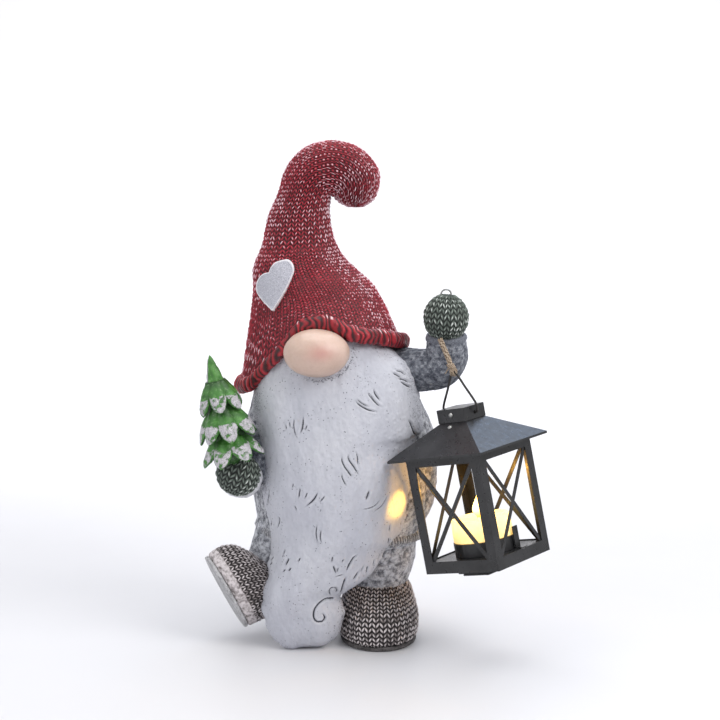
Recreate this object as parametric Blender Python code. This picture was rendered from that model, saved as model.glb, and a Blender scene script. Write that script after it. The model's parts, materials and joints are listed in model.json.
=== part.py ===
"""Garden gnome holding a fir tree and a hanging LED lantern.

Metres, +Z up, the figure's front toward -Y. The figure stands on one boot and
on the curled tip of its beard, and its other boot is kicked up at -X. A piece
of twine under the raised mitten holds the wire bail of a sheet-metal lantern.
"""
import math

import bmesh
import bpy
import numpy as np
from mathutils import Matrix, Vector
from mathutils.bvhtree import BVHTree

MM = 0.001
GAP = 0.3 * MM          # clearance between touching pieces
GROW = 0.42 * MM        # how far a cutter stands off its piece, so a cut keeps GAP
SIDES = 26              # points round the cast pieces
GROUND = 4.2            # height of the ground in the model
ORIGIN = Vector((-0.0362, 0.0325, -GROUND * MM))  # moves the model so that the row's origin is its base centre

# Lantern, in its own frame: z = 0 at the frame's lower edge, in millimetres
LAN_SIDE = 77.0         # frame, outer width
LAN_HEIGHT = 99.5      # frame height
SHEET = 0.8             # sheet thickness
POST = 9.0              # width of a corner post on each face
TOP_RAIL = 7.0
LOW_RAIL = 10.5
STRAP = 3.6             # width of the X braces
ROOF_SIDE = 99.5
ROOF_RISE = 23.4
COLLAR_SIDE = 29.2
COLLAR_HEIGHT = 12.6
CANDLE_R = 26.0
BAIL_WIRE = 1.0         # radius
LAN_PLACE = Vector((135.6, -82.6, 87.4))   # centre of the frame's lower edge
LAN_LEAN = 11.84        # degrees from upright, because an eave rests on the belly
LAN_LEAN_TO = -26.5     # direction in which the lower end swings out, from +X
LAN_YAW = -39.2         # turn about its own upright axis
PIVOT = Vector((93.3, -56.4, 278.6))       # where the twine hangs from the mitten
HAND = Vector((99.5, -42.0, 294.2))       # centre of the raised mitten

# Hat: rows of centre x, centre y, centre z, half width, half depth, turn (degrees)
HAT_ROWS = (
    (-15.0, 1.0, 309.0, 55.5, 56.0, 4.0),
    (-28.2, 2.0, 337.0, 41.2, 44.0, 5.0),
    (-29.4, 3.0, 355.0, 32.6, 36.0, 3.0),
    (-29.0, 3.5, 378.0, 27.2, 30.5, 0.0),
    (-24.8, 4.0, 396.0, 23.8, 27.0, 0.0),
    (-20.0, 4.0, 409.5, 23.2, 26.0, -30.0),
    (-12.0, 4.0, 418.5, 23.8, 25.5, -60.0),
    (1.0, 4.0, 421.5, 24.2, 25.0, -90.0),
    (12.8, 4.0, 418.0, 24.4, 24.0, -120.0),
    (21.0, 4.0, 409.0, 23.2, 22.5, -150.0),
    (22.4, 4.0, 399.8, 19.8, 20.0, -166.0),
    (22.3, 4.0, 392.4, 15.0, 15.0, -174.0),
    (21.6, 4.0, 388.2, 7.5, 8.0, -178.0),
)
# Brim height by angle from +X (degrees, millimetres). It arches over the nose at -90.
BRIM = (
    (-180, 224), (-160, 226), (-145, 231), (-137, 239.5), (-130, 247.5), (-123, 256), (-118, 260),
    (-112, 272), (-106, 282), (-100, 286), (-90, 288), (-81, 287.5), (-72, 279), (-60, 275.5),
    (-45, 273), (-30, 269), (-15, 266), (0, 263), (30, 252), (60, 239),
    (90, 231), (135, 226), (180, 224),
)
RIB_OUT = 5.2           # half thickness of the rolled brim
RIB_TALL = 7.0          # its half height
RIB_UP = 5.5            # its centre above the brim line
BRIM_CENTRE = (-9.0, 0.0)
BRIM_R = (73.0, 73.0)

# Coat: rows of z, centre x, centre y, half width, half depth
COAT_ROWS = (
    (88, 7, 4, 69.5, 57), (91, 7, 4, 73, 61), (101, 7.5, 4, 74.5, 65), (123, 10.5, 4, 80.5, 70),
    (150, 9, 4, 85, 72.5), (178, 6.5, 4, 86.5, 71.5), (196, 6, 3, 82, 68), (218, 3.5, 2, 74, 63),
    (240, 0, 2, 64, 57), (262, -5, 2, 53, 49), (285, -9, 2, 40, 38), (298, -11, 2, 22, 21),
)
# Beard: rows of z, left x, right x, edge y, front y, back y
BEARD_ROWS = (
    (276, -46, 34, -32, -65, -14), (267, -56, 48, -30, -69.5, -12), (250, -65, 69, -26, -76, -10),
    (228, -68.5, 76, -24, -83, -10), (205, -68, 80, -22, -87, -10), (194, -67, 81, -21, -88, -10),
    (186, -66, 76, -20, -88.5, -10), (165, -64, 74, -20, -89, -10), (140, -62, 70.5, -25, -88.5, -10),
    (118, -57, 67, -29, -87, -10), (103, -54, 61, -31, -86, -12), (91, -54, 50, -34, -84, -28),
    (78, -55.5, 42, -38, -82, -34), (66, -57.5, 33, -42, -80, -38), (56, -60, 16, -46, -78, -40),
    (50, -61, 8, -48, -77, -40), (42, -62, 9.5, -50, -76, -40), (33, -60.5, 11.5, -52, -75, -40),
    (22, -57, 9, -53, -74, -40), (14, -53, 5, -54, -72, -41), (8, -46, -3, -56, -69, -44),
    (4.2, -38, -12, -57, -64, -50),
)
# The curl carved at the beard's tip: x and z along it
CURL = ((-2.5, 52.8), (-11.5, 48.6), (-15.4, 42.2), (-14.1, 35.4), (-9.0, 32.1), (-5.1, 35.3), (-7.6, 40.5))
# Outline of the heart on the hat, from its notch round the left lobe: x and z
HEART_LINE = (
    (-52.4, 332.4), (-55.3, 331.8), (-58.1, 330.4), (-60.9, 327.5), (-63.0, 322.8), (-63.6, 318.2), (-62.8, 314.0),
    (-60.0, 310.0), (-55.9, 305.8), (-51.9, 302.2), (-49.1, 300.1), (-47.3, 302.7), (-43.9, 308.0), (-40.5, 314.0),
    (-37.0, 320.7), (-34.1, 327.3), (-31.9, 333.1), (-31.6, 336.7), (-32.7, 340.3), (-35.1, 342.8), (-37.7, 343.6),
    (-40.7, 343.1), (-44.2, 342.2), (-47.6, 340.5), (-50.3, 337.4), (-51.7, 334.4),
)
HEART_MID = (-47.5, 321.0)
NOSE = (-12.0, -76.0, 267.9, 28.0, 22.5, 20.6)   # centre and half sizes
# Boot, in its own frame: sole at z = 0, toe toward -Y: z, centre y, half width, half length
BOOT_ROWS = (
    (0, -27, 31.5, 44), (3, -27, 34.5, 47), (12, -27, 35.5, 48), (22, -26, 35.3, 47), (32, -23.5, 33.5, 43.5),
    (41, -18, 31, 36.5), (48, -12, 29, 30.5), (52, -9.5, 26.5, 27), (54, -9, 22, 22.5),
)
SOLE = 4.0
# Fir tree: radius and height along its own axis
TREE_PROFILE = (
    (5.0, -9.0), (5.5, 2.0), (12.0, 5.0), (29.0, 2.0), (27.0, 9.0), (20.0, 22.0), (12.5, 35.0),
    (15.0, 34.0), (25.5, 31.0), (22.5, 40.0), (15.0, 54.0), (9.0, 63.0), (11.0, 62.5),
    (18.5, 60.0), (15.5, 69.0), (9.5, 83.0), (4.0, 95.0),
)
TREE_FOOT = Vector((-83.0, -61.0, 168.0))
TREE_TIP = Vector((-104.5, -61.0, 265.0))

for old in list(bpy.data.objects):
    bpy.data.objects.remove(old, do_unlink=True)
scene_objects = bpy.context.scene.collection
cutters = bpy.data.collections.new("Cutters")
scene_objects.children.link(cutters)


def paint(name, rgb, roughness, metallic=0.0, glow=0.0):
    made = bpy.data.materials.new(name)
    made.use_nodes = True
    shader = made.node_tree.nodes["Principled BSDF"]
    shader.inputs["Base Color"].default_value = (*rgb, 1.0)
    shader.inputs["Roughness"].default_value = roughness
    shader.inputs["Metallic"].default_value = metallic
    if glow:
        shader.inputs["Emission Color"].default_value = (*rgb, 1.0)
        shader.inputs["Emission Strength"].default_value = glow
    made.diffuse_color = (*rgb, 1.0)
    return made


RED = paint("red_knit_paint", (0.33, 0.02, 0.035), 0.62)
RIB_RED = paint("brim_red_paint", (0.42, 0.02, 0.035), 0.5)
HEART = paint("heart_glitter_paint", (0.78, 0.79, 0.82), 0.7)
SKIN = paint("nose_skin_paint", (0.78, 0.56, 0.46), 0.45)
WHITE = paint("beard_white_paint", (0.74, 0.75, 0.8), 0.6)
COAT = paint("coat_grey_paint", (0.2, 0.21, 0.24), 0.85)
SLEEVE = paint("sleeve_grey_paint", (0.17, 0.19, 0.21), 0.85)
MITTEN = paint("mitten_green_grey_paint", (0.16, 0.19, 0.17), 0.8)
BOOT = paint("boot_brown_grey_paint", (0.25, 0.21, 0.2), 0.8)
TROUSER = paint("trouser_dark_paint", (0.09, 0.095, 0.11), 0.85)
SOLE_PAINT = paint("sole_pale_paint", (0.55, 0.54, 0.55), 0.7)
FIR = paint("fir_green_paint", (0.07, 0.2, 0.05), 0.6)
STEEL = paint("steel_wire", (0.5, 0.5, 0.48), 0.35, 1.0)
TWINE = paint("jute_twine", (0.32, 0.22, 0.13), 0.95)
BLACK = paint("black_lacquered_sheet", (0.012, 0.012, 0.014), 0.38, 0.2)
WAX = paint("cream_candle_plastic", (0.9, 0.72, 0.4), 0.5)
GLOW = paint("flame_silicone", (1.0, 0.6, 0.12), 0.4, glow=6.0)
BLACK_PLASTIC = paint("black_plastic", (0.02, 0.02, 0.02), 0.45)
BOARD = paint("circuit_board_green", (0.02, 0.16, 0.06), 0.5)
LED = paint("led_amber", (1.0, 0.55, 0.1), 0.2, glow=8.0)
CELL = paint("coin_cell_steel", (0.7, 0.7, 0.7), 0.25, 1.0)
KNOB = paint("switch_pale_plastic", (0.6, 0.6, 0.6), 0.5)


def place(name, mesh, mat, sharp=None):
    """A named object of this mesh, shaded smooth up to the sharp angle."""
    obj = bpy.data.objects.new(name, mesh)
    scene_objects.objects.link(obj)
    if mat is not None:
        mesh.materials.append(mat)
    if sharp is not None:
        mesh.shade_smooth()
        mesh.set_sharp_from_angle(angle=math.radians(sharp))
    return obj


def mesh_of(name, bm):
    bmesh.ops.recalc_face_normals(bm, faces=bm.faces[:])
    mesh = bpy.data.meshes.new(name)
    bm.to_mesh(mesh)
    bm.free()
    return mesh


def loft(name, rings, mat, first=None, last=None, sharp=40):
    """A closed skin through rings of equal length (millimetres), with a fan at each end."""
    bm = bmesh.new()
    rows = [[bm.verts.new(Vector(p) * MM) for p in ring] for ring in rings]
    for low, high in zip(rows, rows[1:]):
        for j in range(len(low)):
            k = (j + 1) % len(low)
            bm.faces.new((low[j], low[k], high[k], high[j]))
    for row, centre in ((rows[0], first), (rows[-1], last)):
        if centre is None:
            bm.faces.new(row)
            continue
        tip = bm.verts.new(Vector(centre) * MM)
        for j in range(len(row)):
            bm.faces.new((row[j], row[(j + 1) % len(row)], tip))
    return place(name, mesh_of(name, bm), mat, sharp)


def eased(table, per):
    """The table's rows with `per` steps between neighbours, on a Catmull-Rom curve."""
    rows = np.asarray(table, float)
    padded = np.concatenate([2 * rows[:1] - rows[1:2], rows, 2 * rows[-1:] - rows[-2:-1]])
    out = []
    for i in range(len(rows) - 1):
        a, b, c, d = padded[i:i + 4]
        for s in np.arange(per) / per:
            out.append(0.5 * (2 * b + (c - a) * s + (2 * a - 5 * b + 4 * c - d) * s**2 + (3 * b - a - 3 * c + d) * s**3))
    return np.array(out + [rows[-1]])


def turns(count):
    return np.arange(count) * 2 * np.pi / count


def grown(obj, by=GROW):
    """A hidden copy of the object's own mesh, moved out along its normals, to cut neighbours with."""
    mesh = obj.data.copy()
    mesh.name = "cut_" + obj.name
    normals = [Vector(v.normal) for v in mesh.vertices]
    for vertex, normal in zip(mesh.vertices, normals):
        vertex.co += normal * by
    copy = bpy.data.objects.new("cut_" + obj.name, mesh)
    copy.matrix_world = obj.matrix_world.copy()
    return as_cutter(copy)


def as_cutter(obj):
    for home in obj.users_collection:
        home.objects.unlink(obj)
    cutters.objects.link(obj)
    obj.hide_render = True
    obj.display_type = "WIRE"
    return obj


def boolean(obj, other, operation="DIFFERENCE", solver="EXACT"):
    step = obj.modifiers.new(operation.title() + "_" + other.name, "BOOLEAN")
    step.operation = operation
    step.solver = solver
    step.object = other
    return step


def ball(name, centre, halves, mat, segments=24, rings=14, sharp=60):
    bm = bmesh.new()
    bmesh.ops.create_uvsphere(bm, u_segments=segments, v_segments=rings, radius=MM)
    bmesh.ops.scale(bm, vec=halves, verts=bm.verts[:])
    bmesh.ops.translate(bm, vec=Vector(centre) * MM, verts=bm.verts[:])
    return place(name, mesh_of(name, bm), mat, sharp)


def tube(name, points, radius, mat, sides=10, flat=None, smooth=50):
    """A round bar swept through points (millimetres), with flat ends."""
    pts = [Vector(p) for p in points]
    rings = []
    side = None
    for i, p in enumerate(pts):
        ahead = (pts[min(i + 1, len(pts) - 1)] - pts[max(i - 1, 0)]).normalized()
        if side is None:
            side = ahead.orthogonal().normalized()
        side = (side - ahead * side.dot(ahead)).normalized()
        other = ahead.cross(side)
        r = radius[i] if isinstance(radius, (list, tuple)) else radius
        rings.append([p + (side * math.cos(a) + other * math.sin(a)) * r for a in turns(sides)])
    return loft(name, rings, mat, sharp=smooth)


def block(name, low, high, mat, bevel=0.0):
    bm = bmesh.new()
    bmesh.ops.create_cube(bm, size=1.0)
    size = Vector(high) - Vector(low)
    bmesh.ops.scale(bm, vec=size * MM, verts=bm.verts[:])
    bmesh.ops.translate(bm, vec=(Vector(low) + size / 2) * MM, verts=bm.verts[:])
    obj = place(name, mesh_of(name, bm), mat)
    if bevel:
        step = obj.modifiers.new("Edges", "BEVEL")
        step.width = bevel * MM
        step.segments = 1
    return obj


def drum(name, centre, radius, height, mat, sides=32, top=None, sharp=35):
    """An upright cylinder, its lower face at the centre given."""
    bm = bmesh.new()
    bmesh.ops.create_cone(bm, cap_ends=True, segments=sides, radius1=radius * MM,
                          radius2=(radius if top is None else top) * MM, depth=height * MM)
    bmesh.ops.translate(bm, vec=(Vector(centre) + Vector((0, 0, height / 2))) * MM, verts=bm.verts[:])
    return place(name, mesh_of(name, bm), mat, sharp)


# ---------------------------------------------------------------- the figure
def coat_rings():
    return [[(cx + rx * math.cos(a), cy + ry * math.sin(a), z) for a in turns(SIDES)]
            for z, cx, cy, rx, ry in COAT_ROWS]


def brim_height(angle):
    table = np.array(BRIM, float)
    return float(np.interp((math.degrees(angle) + 180) % 360 - 180, table[:, 0], table[:, 1]))


def brim_point(angle, out=0.0, up=0.0):
    """A point of the brim line, moved out and up by these millimetres."""
    z = brim_height(angle)
    return (BRIM_CENTRE[0] + (BRIM_R[0] + out) * math.cos(angle),
            BRIM_CENTRE[1] + (BRIM_R[1] + out) * math.sin(angle), z + up)


def hat_rings(count, per):
    """Rows of the hat from its brim to its tip, each on the same angles."""
    angles = turns(count)
    rows = [[brim_point(a) for a in angles]]
    for cx, cy, cz, rx, ry, turn in HAT_ROWS:
        c, s = math.cos(math.radians(turn)), math.sin(math.radians(turn))
        rows.append([(cx + rx * math.cos(a) * c, cy + ry * math.sin(a), cz + rx * math.cos(a) * s) for a in angles])
    flat = np.array(rows).reshape(len(rows), -1)
    return eased(flat, per).reshape(-1, count, 3)


def beard_section(row, count):
    """One level outline of the beard: a bulging front and a flatter back."""
    z, left, right, edge, front, back = row
    mid, half = (left + right) / 2, (right - left) / 2
    ring = []
    for a in turns(count):
        c, s = math.cos(a), math.sin(a)
        x = mid + half * math.copysign(abs(c) ** 0.96, c)
        y = edge + (front - edge) * abs(s) ** 0.95 if s < 0 else edge + (back - edge) * s ** 0.8
        ring.append((x, y, z))
    return ring


def boot_rings(count, tall=1.0):
    rings = []
    for z, cy, rx, ry in BOOT_ROWS:
        ring = []
        for a in turns(count):
            c, s = math.cos(a), math.sin(a)
            toe = 1.0 + 0.06 * s           # a little narrower at the toe
            ring.append((rx * toe * math.copysign(abs(c) ** 0.92, c), cy + ry * math.copysign(abs(s) ** 0.92, s), z * tall))
        rings.append(ring)
    return rings


torso = loft("torso_coat", coat_rings(), COAT, (7, 4, 88), (-11, 2, 303))
hat = loft("hat", hat_rings(SIDES, 2), RED, (-9, 0, 262), (21.4, 4, 387.0))
rib_rings = []
for angle in turns(42):
    out = Vector((math.cos(angle), math.sin(angle), 0))
    centre = Vector(brim_point(angle, 0.2, RIB_UP))
    rib_rings.append([centre + out * RIB_OUT * math.cos(b) + Vector((0, 0, RIB_TALL * math.sin(b))) for b in turns(8)])
bm = bmesh.new()
rows = [[bm.verts.new(p * MM) for p in ring] for ring in rib_rings]
for i, row in enumerate(rows):
    ahead = rows[(i + 1) % len(rows)]
    for j in range(8):
        bm.faces.new((row[j], row[(j + 1) % 8], ahead[(j + 1) % 8], ahead[j]))
rib = place("hat_rib", mesh_of("hat_rib", bm), RIB_RED, 60)

beard = loft("beard", [beard_section(row, SIDES) for row in eased(BEARD_ROWS, 1)], WHITE,
             (1, -36, 277), None)
nose = ball("nose", NOSE[:3], NOSE[3:], SKIN, 22, 12)
tree_mitten = ball("tree_mitten", (-80.5, -54.0, 159.5), (19.5, 20.0, 19.5), MITTEN, 18, 10)
hand = ball("raised_mitten", HAND, (19.4, 19.5, 20.6), MITTEN, 20, 12)

# The tree: a lobed, three-tiered cone about a leaning axis
tree_axis = (TREE_TIP - TREE_FOOT).normalized()
tree_side = Vector((0, -1, 0)).cross(tree_axis).normalized()
tree_front = tree_axis.cross(tree_side)
tree_rings = []
for index, (radius, height) in enumerate(TREE_PROFILE):
    ring = []
    for a in turns(21):
        lobe = 1 + (0.11 * math.cos(7 * a + index // 6 * 0.9) if radius > 8 else 0)
        ring.append(TREE_FOOT + tree_axis * (height + (1.5 * math.cos(7 * a + index // 6 * 0.9) if radius > 14 else 0))
                    + (tree_side * math.cos(a) + tree_front * math.sin(a)) * radius * lobe)
    tree_rings.append(ring)
tree = loft("fir_tree", tree_rings, FIR, None, TREE_TIP, sharp=70)

# Sleeves
sleeve_rows = eased(((38, -6, 240, 22), (60, -15, 244, 20.5), (80, -24, 245.5, 19), (95, -29.5, 249.5, 18.6),
                     (101, -32, 259, 18.3), (100.5, -34, 268, 17.6), (100.2, -35, 274.5, 16.8)), 2)
sleeve_spine = [Vector(r[:3]) for r in sleeve_rows]
raised_sleeve = tube("raised_sleeve", sleeve_spine, [float(r[3]) for r in sleeve_rows], SLEEVE, 20)
low_rows = eased(((-50, -12, 186, 24), (-64, -24, 174, 23), (-74, -38, 165, 22), (-78.5, -46, 160.8, 21.3)), 2)
tree_sleeve = tube("tree_sleeve", [Vector(r[:3]) for r in low_rows], [float(r[3]) for r in low_rows], SLEEVE, 20)

# Legs and boots
BOOT_AT = Matrix.Translation(Vector((41.5, 0, GROUND + SOLE + GAP / MM)) * MM)
standing_boot = loft("standing_boot", boot_rings(26, 0.82), BOOT, None, (0, -9, 44.7))
standing_boot.matrix_world = BOOT_AT
sole_ring = [(0.985 * x, -27 + (y + 27) * 0.985) for x, y, z in boot_rings(26)[1]]
standing_sole = loft("standing_sole", [[(x, y, z) for x, y in sole_ring] for z in (0, SOLE)], SOLE_PAINT)
standing_sole.matrix_world = Matrix.Translation(Vector((41.5, 0, GROUND)) * MM)
toe = Vector((-0.43, -0.16, 0.887)).normalized()
up = Vector((0.85, 0.27, 0.455))
up = (up - toe * up.dot(toe)).normalized()
across = (-toe).cross(up)
KICK = Matrix((across, -toe, up)).transposed().to_4x4()
KICK.translation = Vector((-80.1, -32.0, 16.9)) * MM
KICK = KICK @ Matrix.Diagonal((0.79, 0.79, 0.79, 1.0)) @ Matrix.Translation(Vector((0, -17.5, 0)) * MM)


def fix_scale(obj, matrix):
    obj.data.transform(matrix)
    return obj


raised_boot = fix_scale(loft("raised_boot", boot_rings(26), BOOT, None, (0, -9, 54.5)),
                        KICK @ Matrix.Translation(Vector((0, 0, SOLE + GAP / MM)) * MM))
raised_sole = fix_scale(loft("raised_sole", [[(x, y, z) for x, y in sole_ring] for z in (0, SOLE)], SOLE_PAINT), KICK)
raised_boot.data.update()
raised_sole.data.update()
leg_rows = eased(((41, -10, 40, 24), (41.5, -8, 56, 27.5), (43, -4, 76, 32), (42, 0, 99, 33)), 2)
standing_leg = tube("standing_leg", [Vector(r[:3]) for r in leg_rows], [float(r[3]) for r in leg_rows], TROUSER, 22)
kick_rows = eased(((-74, -23, 51, 15), (-59, -16, 71, 18.5), (-45, -8, 98, 24)), 3)
raised_leg = tube("raised_leg", [Vector(r[:3]) for r in kick_rows], [float(r[3]) for r in kick_rows], TROUSER, 20)

# Heart: a plate laid on the hat's front
tree_of_hat = BVHTree.FromPolygons([v.co.copy() for v in hat.data.vertices], [tuple(p.vertices) for p in hat.data.polygons])
heart_rings = [[(HEART_MID[0] + (x - HEART_MID[0]) * scale, HEART_MID[1] + (z - HEART_MID[1]) * scale) for x, z in HEART_LINE]
               for scale in (0.2, 0.6, 0.92, 1.0)]


def on_hat(x, z, off):
    hit, normal, _, _ = tree_of_hat.ray_cast(Vector((x, -200, z)) * MM, Vector((0, 1, 0)))
    return (hit / MM) + Vector((0, -1, 0)) * off


def heart_skin(off_centre, off_edge):
    return [[on_hat(x, z, off_centre if i < 3 else off_edge) for x, z in ring] for i, ring in enumerate(heart_rings)]


outer, inner = heart_skin(3.2, 2.4), heart_skin(0.95, 0.95)
heart = loft("heart_patch", outer + inner[::-1], HEART, on_hat(*HEART_MID, 3.2), on_hat(*HEART_MID, 0.95), sharp=60)

# The wire eye in the top of the raised mitten, its shank set in a bore
crown = HAND + Vector((0, 0, 20.6))
eye_points = [crown - Vector((0, 0, 14)), crown - Vector((0, 0, 9)), crown - Vector((0, 0, 5.6))]
for k in range(15):
    a = -math.pi / 2 + 2 * math.pi * k / 16
    eye_points.append(crown + Vector((4.4 * math.cos(a), 0, 4.2 * math.sin(a) - 0.2)))
mitten_eye = tube("mitten_eye", eye_points, 0.75, STEEL, 6)
bore = grown(mitten_eye)

grown_torso, grown_hat, grown_rib = grown(torso), grown(hat), grown(rib)
brim_relief = as_cutter(tube("cut_brim_relief", [(-50, -60.5, 259.5), (-54, -56.8, 254.5), (-57.5, -54, 250), (-61, -50.8, 246.5), (-64, -47.5, 243)], 4.5, None, 10))
grown_nose, grown_beard = grown(nose), grown(beard)
grown_tree, grown_tree_mitten, grown_hand = grown(tree, 0.7 * MM), grown(tree_mitten), grown(hand)
grown_leg, grown_kick_leg = grown(standing_leg), grown(raised_leg)
grown_boot, grown_kick = grown(standing_boot), grown(raised_boot)
grown_sleeve, grown_low = grown(raised_sleeve), grown(tree_sleeve)



def beard_front(x, z):
    """The y of the beard's front face above this x and z."""
    levels = np.array(BEARD_ROWS[::-1], float)
    left, right, edge, front = (float(np.interp(z, levels[:, 0], levels[:, k])) for k in (1, 2, 3, 4))
    c = min(0.99, abs((x - (left + right) / 2) / ((right - left) / 2))) ** (1 / 0.96)
    return edge + (front - edge) * math.sqrt(1 - c * c) ** 0.95


groove_points = [(x, beard_front(x, z) - 0.25, z) for x, z in eased(CURL, 4)]
groove = as_cutter(tube("cut_curl_groove", groove_points, 1.5, None, 8))

for cutter in (grown_rib, grown_torso):
    boolean(hat, cutter)
for cutter in (grown_torso,):
    boolean(rib, cutter)
boolean(nose, grown_torso)
boolean(nose, grown_rib)
boolean(nose, grown_hat)
for cutter in (grown_torso, grown_hat, grown_rib, brim_relief, grown_nose, grown_leg, grown_kick_leg, grown_boot,
               grown_tree_mitten, grown_tree, grown_low, grown_kick, grown_sleeve, groove):
    boolean(beard, cutter, solver="MANIFOLD")      # EXACT drops most of the beard here
boolean(tree_mitten, grown_tree)
boolean(hand, grown_sleeve)
boolean(hand, bore)
boolean(tree_sleeve, grown_tree_mitten)
boolean(tree_sleeve, grown_torso)
boolean(tree_sleeve, grown_tree)
boolean(raised_sleeve, grown_torso)
boolean(raised_sleeve, grown_rib)
boolean(raised_sleeve, grown_hat)
boolean(standing_boot, grown_leg)
boolean(raised_boot, grown_kick_leg)
boolean(standing_leg, grown_torso)
boolean(raised_leg, grown_torso)

# ---------------------------------------------------------------- the hanger
lean_to = Vector((math.cos(math.radians(LAN_LEAN_TO)), math.sin(math.radians(LAN_LEAN_TO)), 0))
swing_axis = Vector((lean_to.y, -lean_to.x, 0))       # a positive turn carries the lantern out
LAN = Matrix.Rotation(math.radians(LAN_LEAN), 4, swing_axis) @ Matrix.Rotation(math.radians(LAN_YAW), 4, "Z")
LAN.translation = LAN_PLACE
HOLE = LAN_HEIGHT + 1.9 + ROOF_RISE + COLLAR_HEIGHT * 0.45     # height of the bail's holes
APEX = HOLE + 36.0


def lan(x, y, z):
    return LAN @ Vector((x, y, z))


half_collar = COLLAR_SIDE / 2
bail_shape = [(-half_collar + 2.2, HOLE)]
bail_shape += [(-half_collar - 1.2, HOLE), (-half_collar - 3.0, HOLE + 1.2), (-half_collar - 3.2, HOLE + 4.0)]
bail_shape += [(-half_collar - 2.2, HOLE + 9), (-9.2, HOLE + 22.5), (-3.4, HOLE + 33.4), (-1.6, HOLE + 35.4)]
bail_shape += [(0, APEX)] + [(-x, z) for x, z in bail_shape[::-1]]
bail = tube("lantern_bail", [lan(x, 0, z) for x, z in bail_shape], BAIL_WIRE, STEEL, 8)
eye_of_twine = [lan(0, 2.9 * math.cos(a), APEX + 2.9 * math.sin(a)) for a in turns(14)]
top = lan(0, 0, APEX + 4.0)
twine_points = [PIVOT + (top - PIVOT) * t for t in (0.0, 0.25, 0.5, 0.75, 1.0)]
twine = tube("hanging_twine", twine_points, [2.5, 2.3, 2.2, 2.2, 2.4], TWINE, 10)
bm = bmesh.new()
loops = []
for a in turns(14):
    centre = lan(0, 2.9 * math.cos(a), APEX + 2.9 * math.sin(a))
    out = (centre - lan(0, 0, APEX)).normalized()
    side = (lan(1, 0, 0) - lan(0, 0, 0)).normalized()
    loops.append([bm.verts.new((centre + (out * math.cos(b) + side * math.sin(b)) * 1.5) * MM) for b in turns(8)])
for i, row in enumerate(loops):
    ahead = loops[(i + 1) % len(loops)]
    for j in range(8):
        bm.faces.new((row[j], row[(j + 1) % 8], ahead[(j + 1) % 8], ahead[j]))
knot = as_cutter(place("union_twine_loop", mesh_of("twine_loop", bm), None))
boolean(twine, knot, "UNION")
grown_twine_seat = as_cutter(ball("cut_twine_seat", PIVOT + Vector((0, 0, 0.8)), (3.4, 3.4, 2.6), None, 14, 8))
boolean(hand, grown_twine_seat)
boolean(raised_sleeve, grown_twine_seat)

# ---------------------------------------------------------------- the lantern
lantern_pieces = []


def lantern(obj):
    lantern_pieces.append(obj)
    return obj


h = LAN_SIDE / 2
frame = lantern(block("lantern_frame", (-h, -h, 0), (h, h, LAN_HEIGHT), BLACK))
inside = as_cutter(block("cut_frame_inside", (-h + SHEET, -h + SHEET, -5), (h - SHEET, h - SHEET, LAN_HEIGHT + 5), None))
pane_x = as_cutter(block("cut_frame_pane_x", (-h - 5, -h + POST, LOW_RAIL), (h + 5, h - POST, LAN_HEIGHT - TOP_RAIL), None))
pane_y = as_cutter(block("cut_frame_pane_y", (-h + POST, -h - 5, LOW_RAIL), (h - POST, h + 5, LAN_HEIGHT - TOP_RAIL), None))
for cutter in (inside, pane_x, pane_y):
    boolean(frame, cutter)
    lantern_pieces.append(cutter)

pane_w, pane_h = LAN_SIDE - 2 * POST, LAN_HEIGHT - TOP_RAIL - LOW_RAIL
pane_mid = LOW_RAIL + pane_h / 2
strap_angle = math.atan2(pane_h, pane_w)
strap_half = math.hypot(pane_w, pane_h) / 2 + 1.6
for side, name in enumerate(("brace_front_left", "brace_front_right", "brace_back_right", "brace_back_left")):
    face = Matrix.Rotation(math.radians(90 * side), 4, "Z") @ Matrix.Translation(
        Vector((0, -h + SHEET + GAP / MM + 0.4, pane_mid)) * MM)
    straps = []
    for sign in (1, -1):
        strap = block(name if sign > 0 else "union_" + name, (-strap_half, -0.4, -STRAP / 2), (strap_half, 0.4, STRAP / 2), BLACK if sign > 0 else None)
        strap.data.transform(face @ Matrix.Rotation(-sign * strap_angle, 4, "Y"))
        straps.append(strap)
    boolean(straps[0], as_cutter(straps[1]), "UNION")
    lantern_pieces += straps

FLOOR_Z = LOW_RAIL - 0.9
in_half = h - SHEET - 1.45
floor = lantern(block("lantern_floor", (-in_half, -in_half, FLOOR_Z - SHEET), (in_half, in_half, FLOOR_Z), BLACK))
roof_z = LAN_HEIGHT + GAP / MM


def square(half, z):
    return [(-half, -half, z), (half, -half, z), (half, half, z), (-half, half, z)]


# The roof: a sheet pyramid with a short turned-down lip and a square hole under the collar
lip = 2.0
slope_top = roof_z + lip + ROOF_RISE
shell = [square(ROOF_SIDE / 2, roof_z), square(ROOF_SIDE / 2, roof_z + lip), square(COLLAR_SIDE / 2 - 1.2, slope_top),
         square(COLLAR_SIDE / 2 - 2.4, slope_top - 0.6), square(ROOF_SIDE / 2 - SHEET, roof_z + lip - 0.7),
         square(ROOF_SIDE / 2 - SHEET, roof_z)]
bm = bmesh.new()
rows = [[bm.verts.new(Vector(p) * MM) for p in ring] for ring in shell]
for i, row in enumerate(rows):
    ahead = rows[(i + 1) % len(rows)]
    for j in range(4):
        bm.faces.new((row[j], row[(j + 1) % 4], ahead[(j + 1) % 4], ahead[j]))
roof = lantern(place("lantern_roof", mesh_of("lantern_roof", bm), BLACK))

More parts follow.
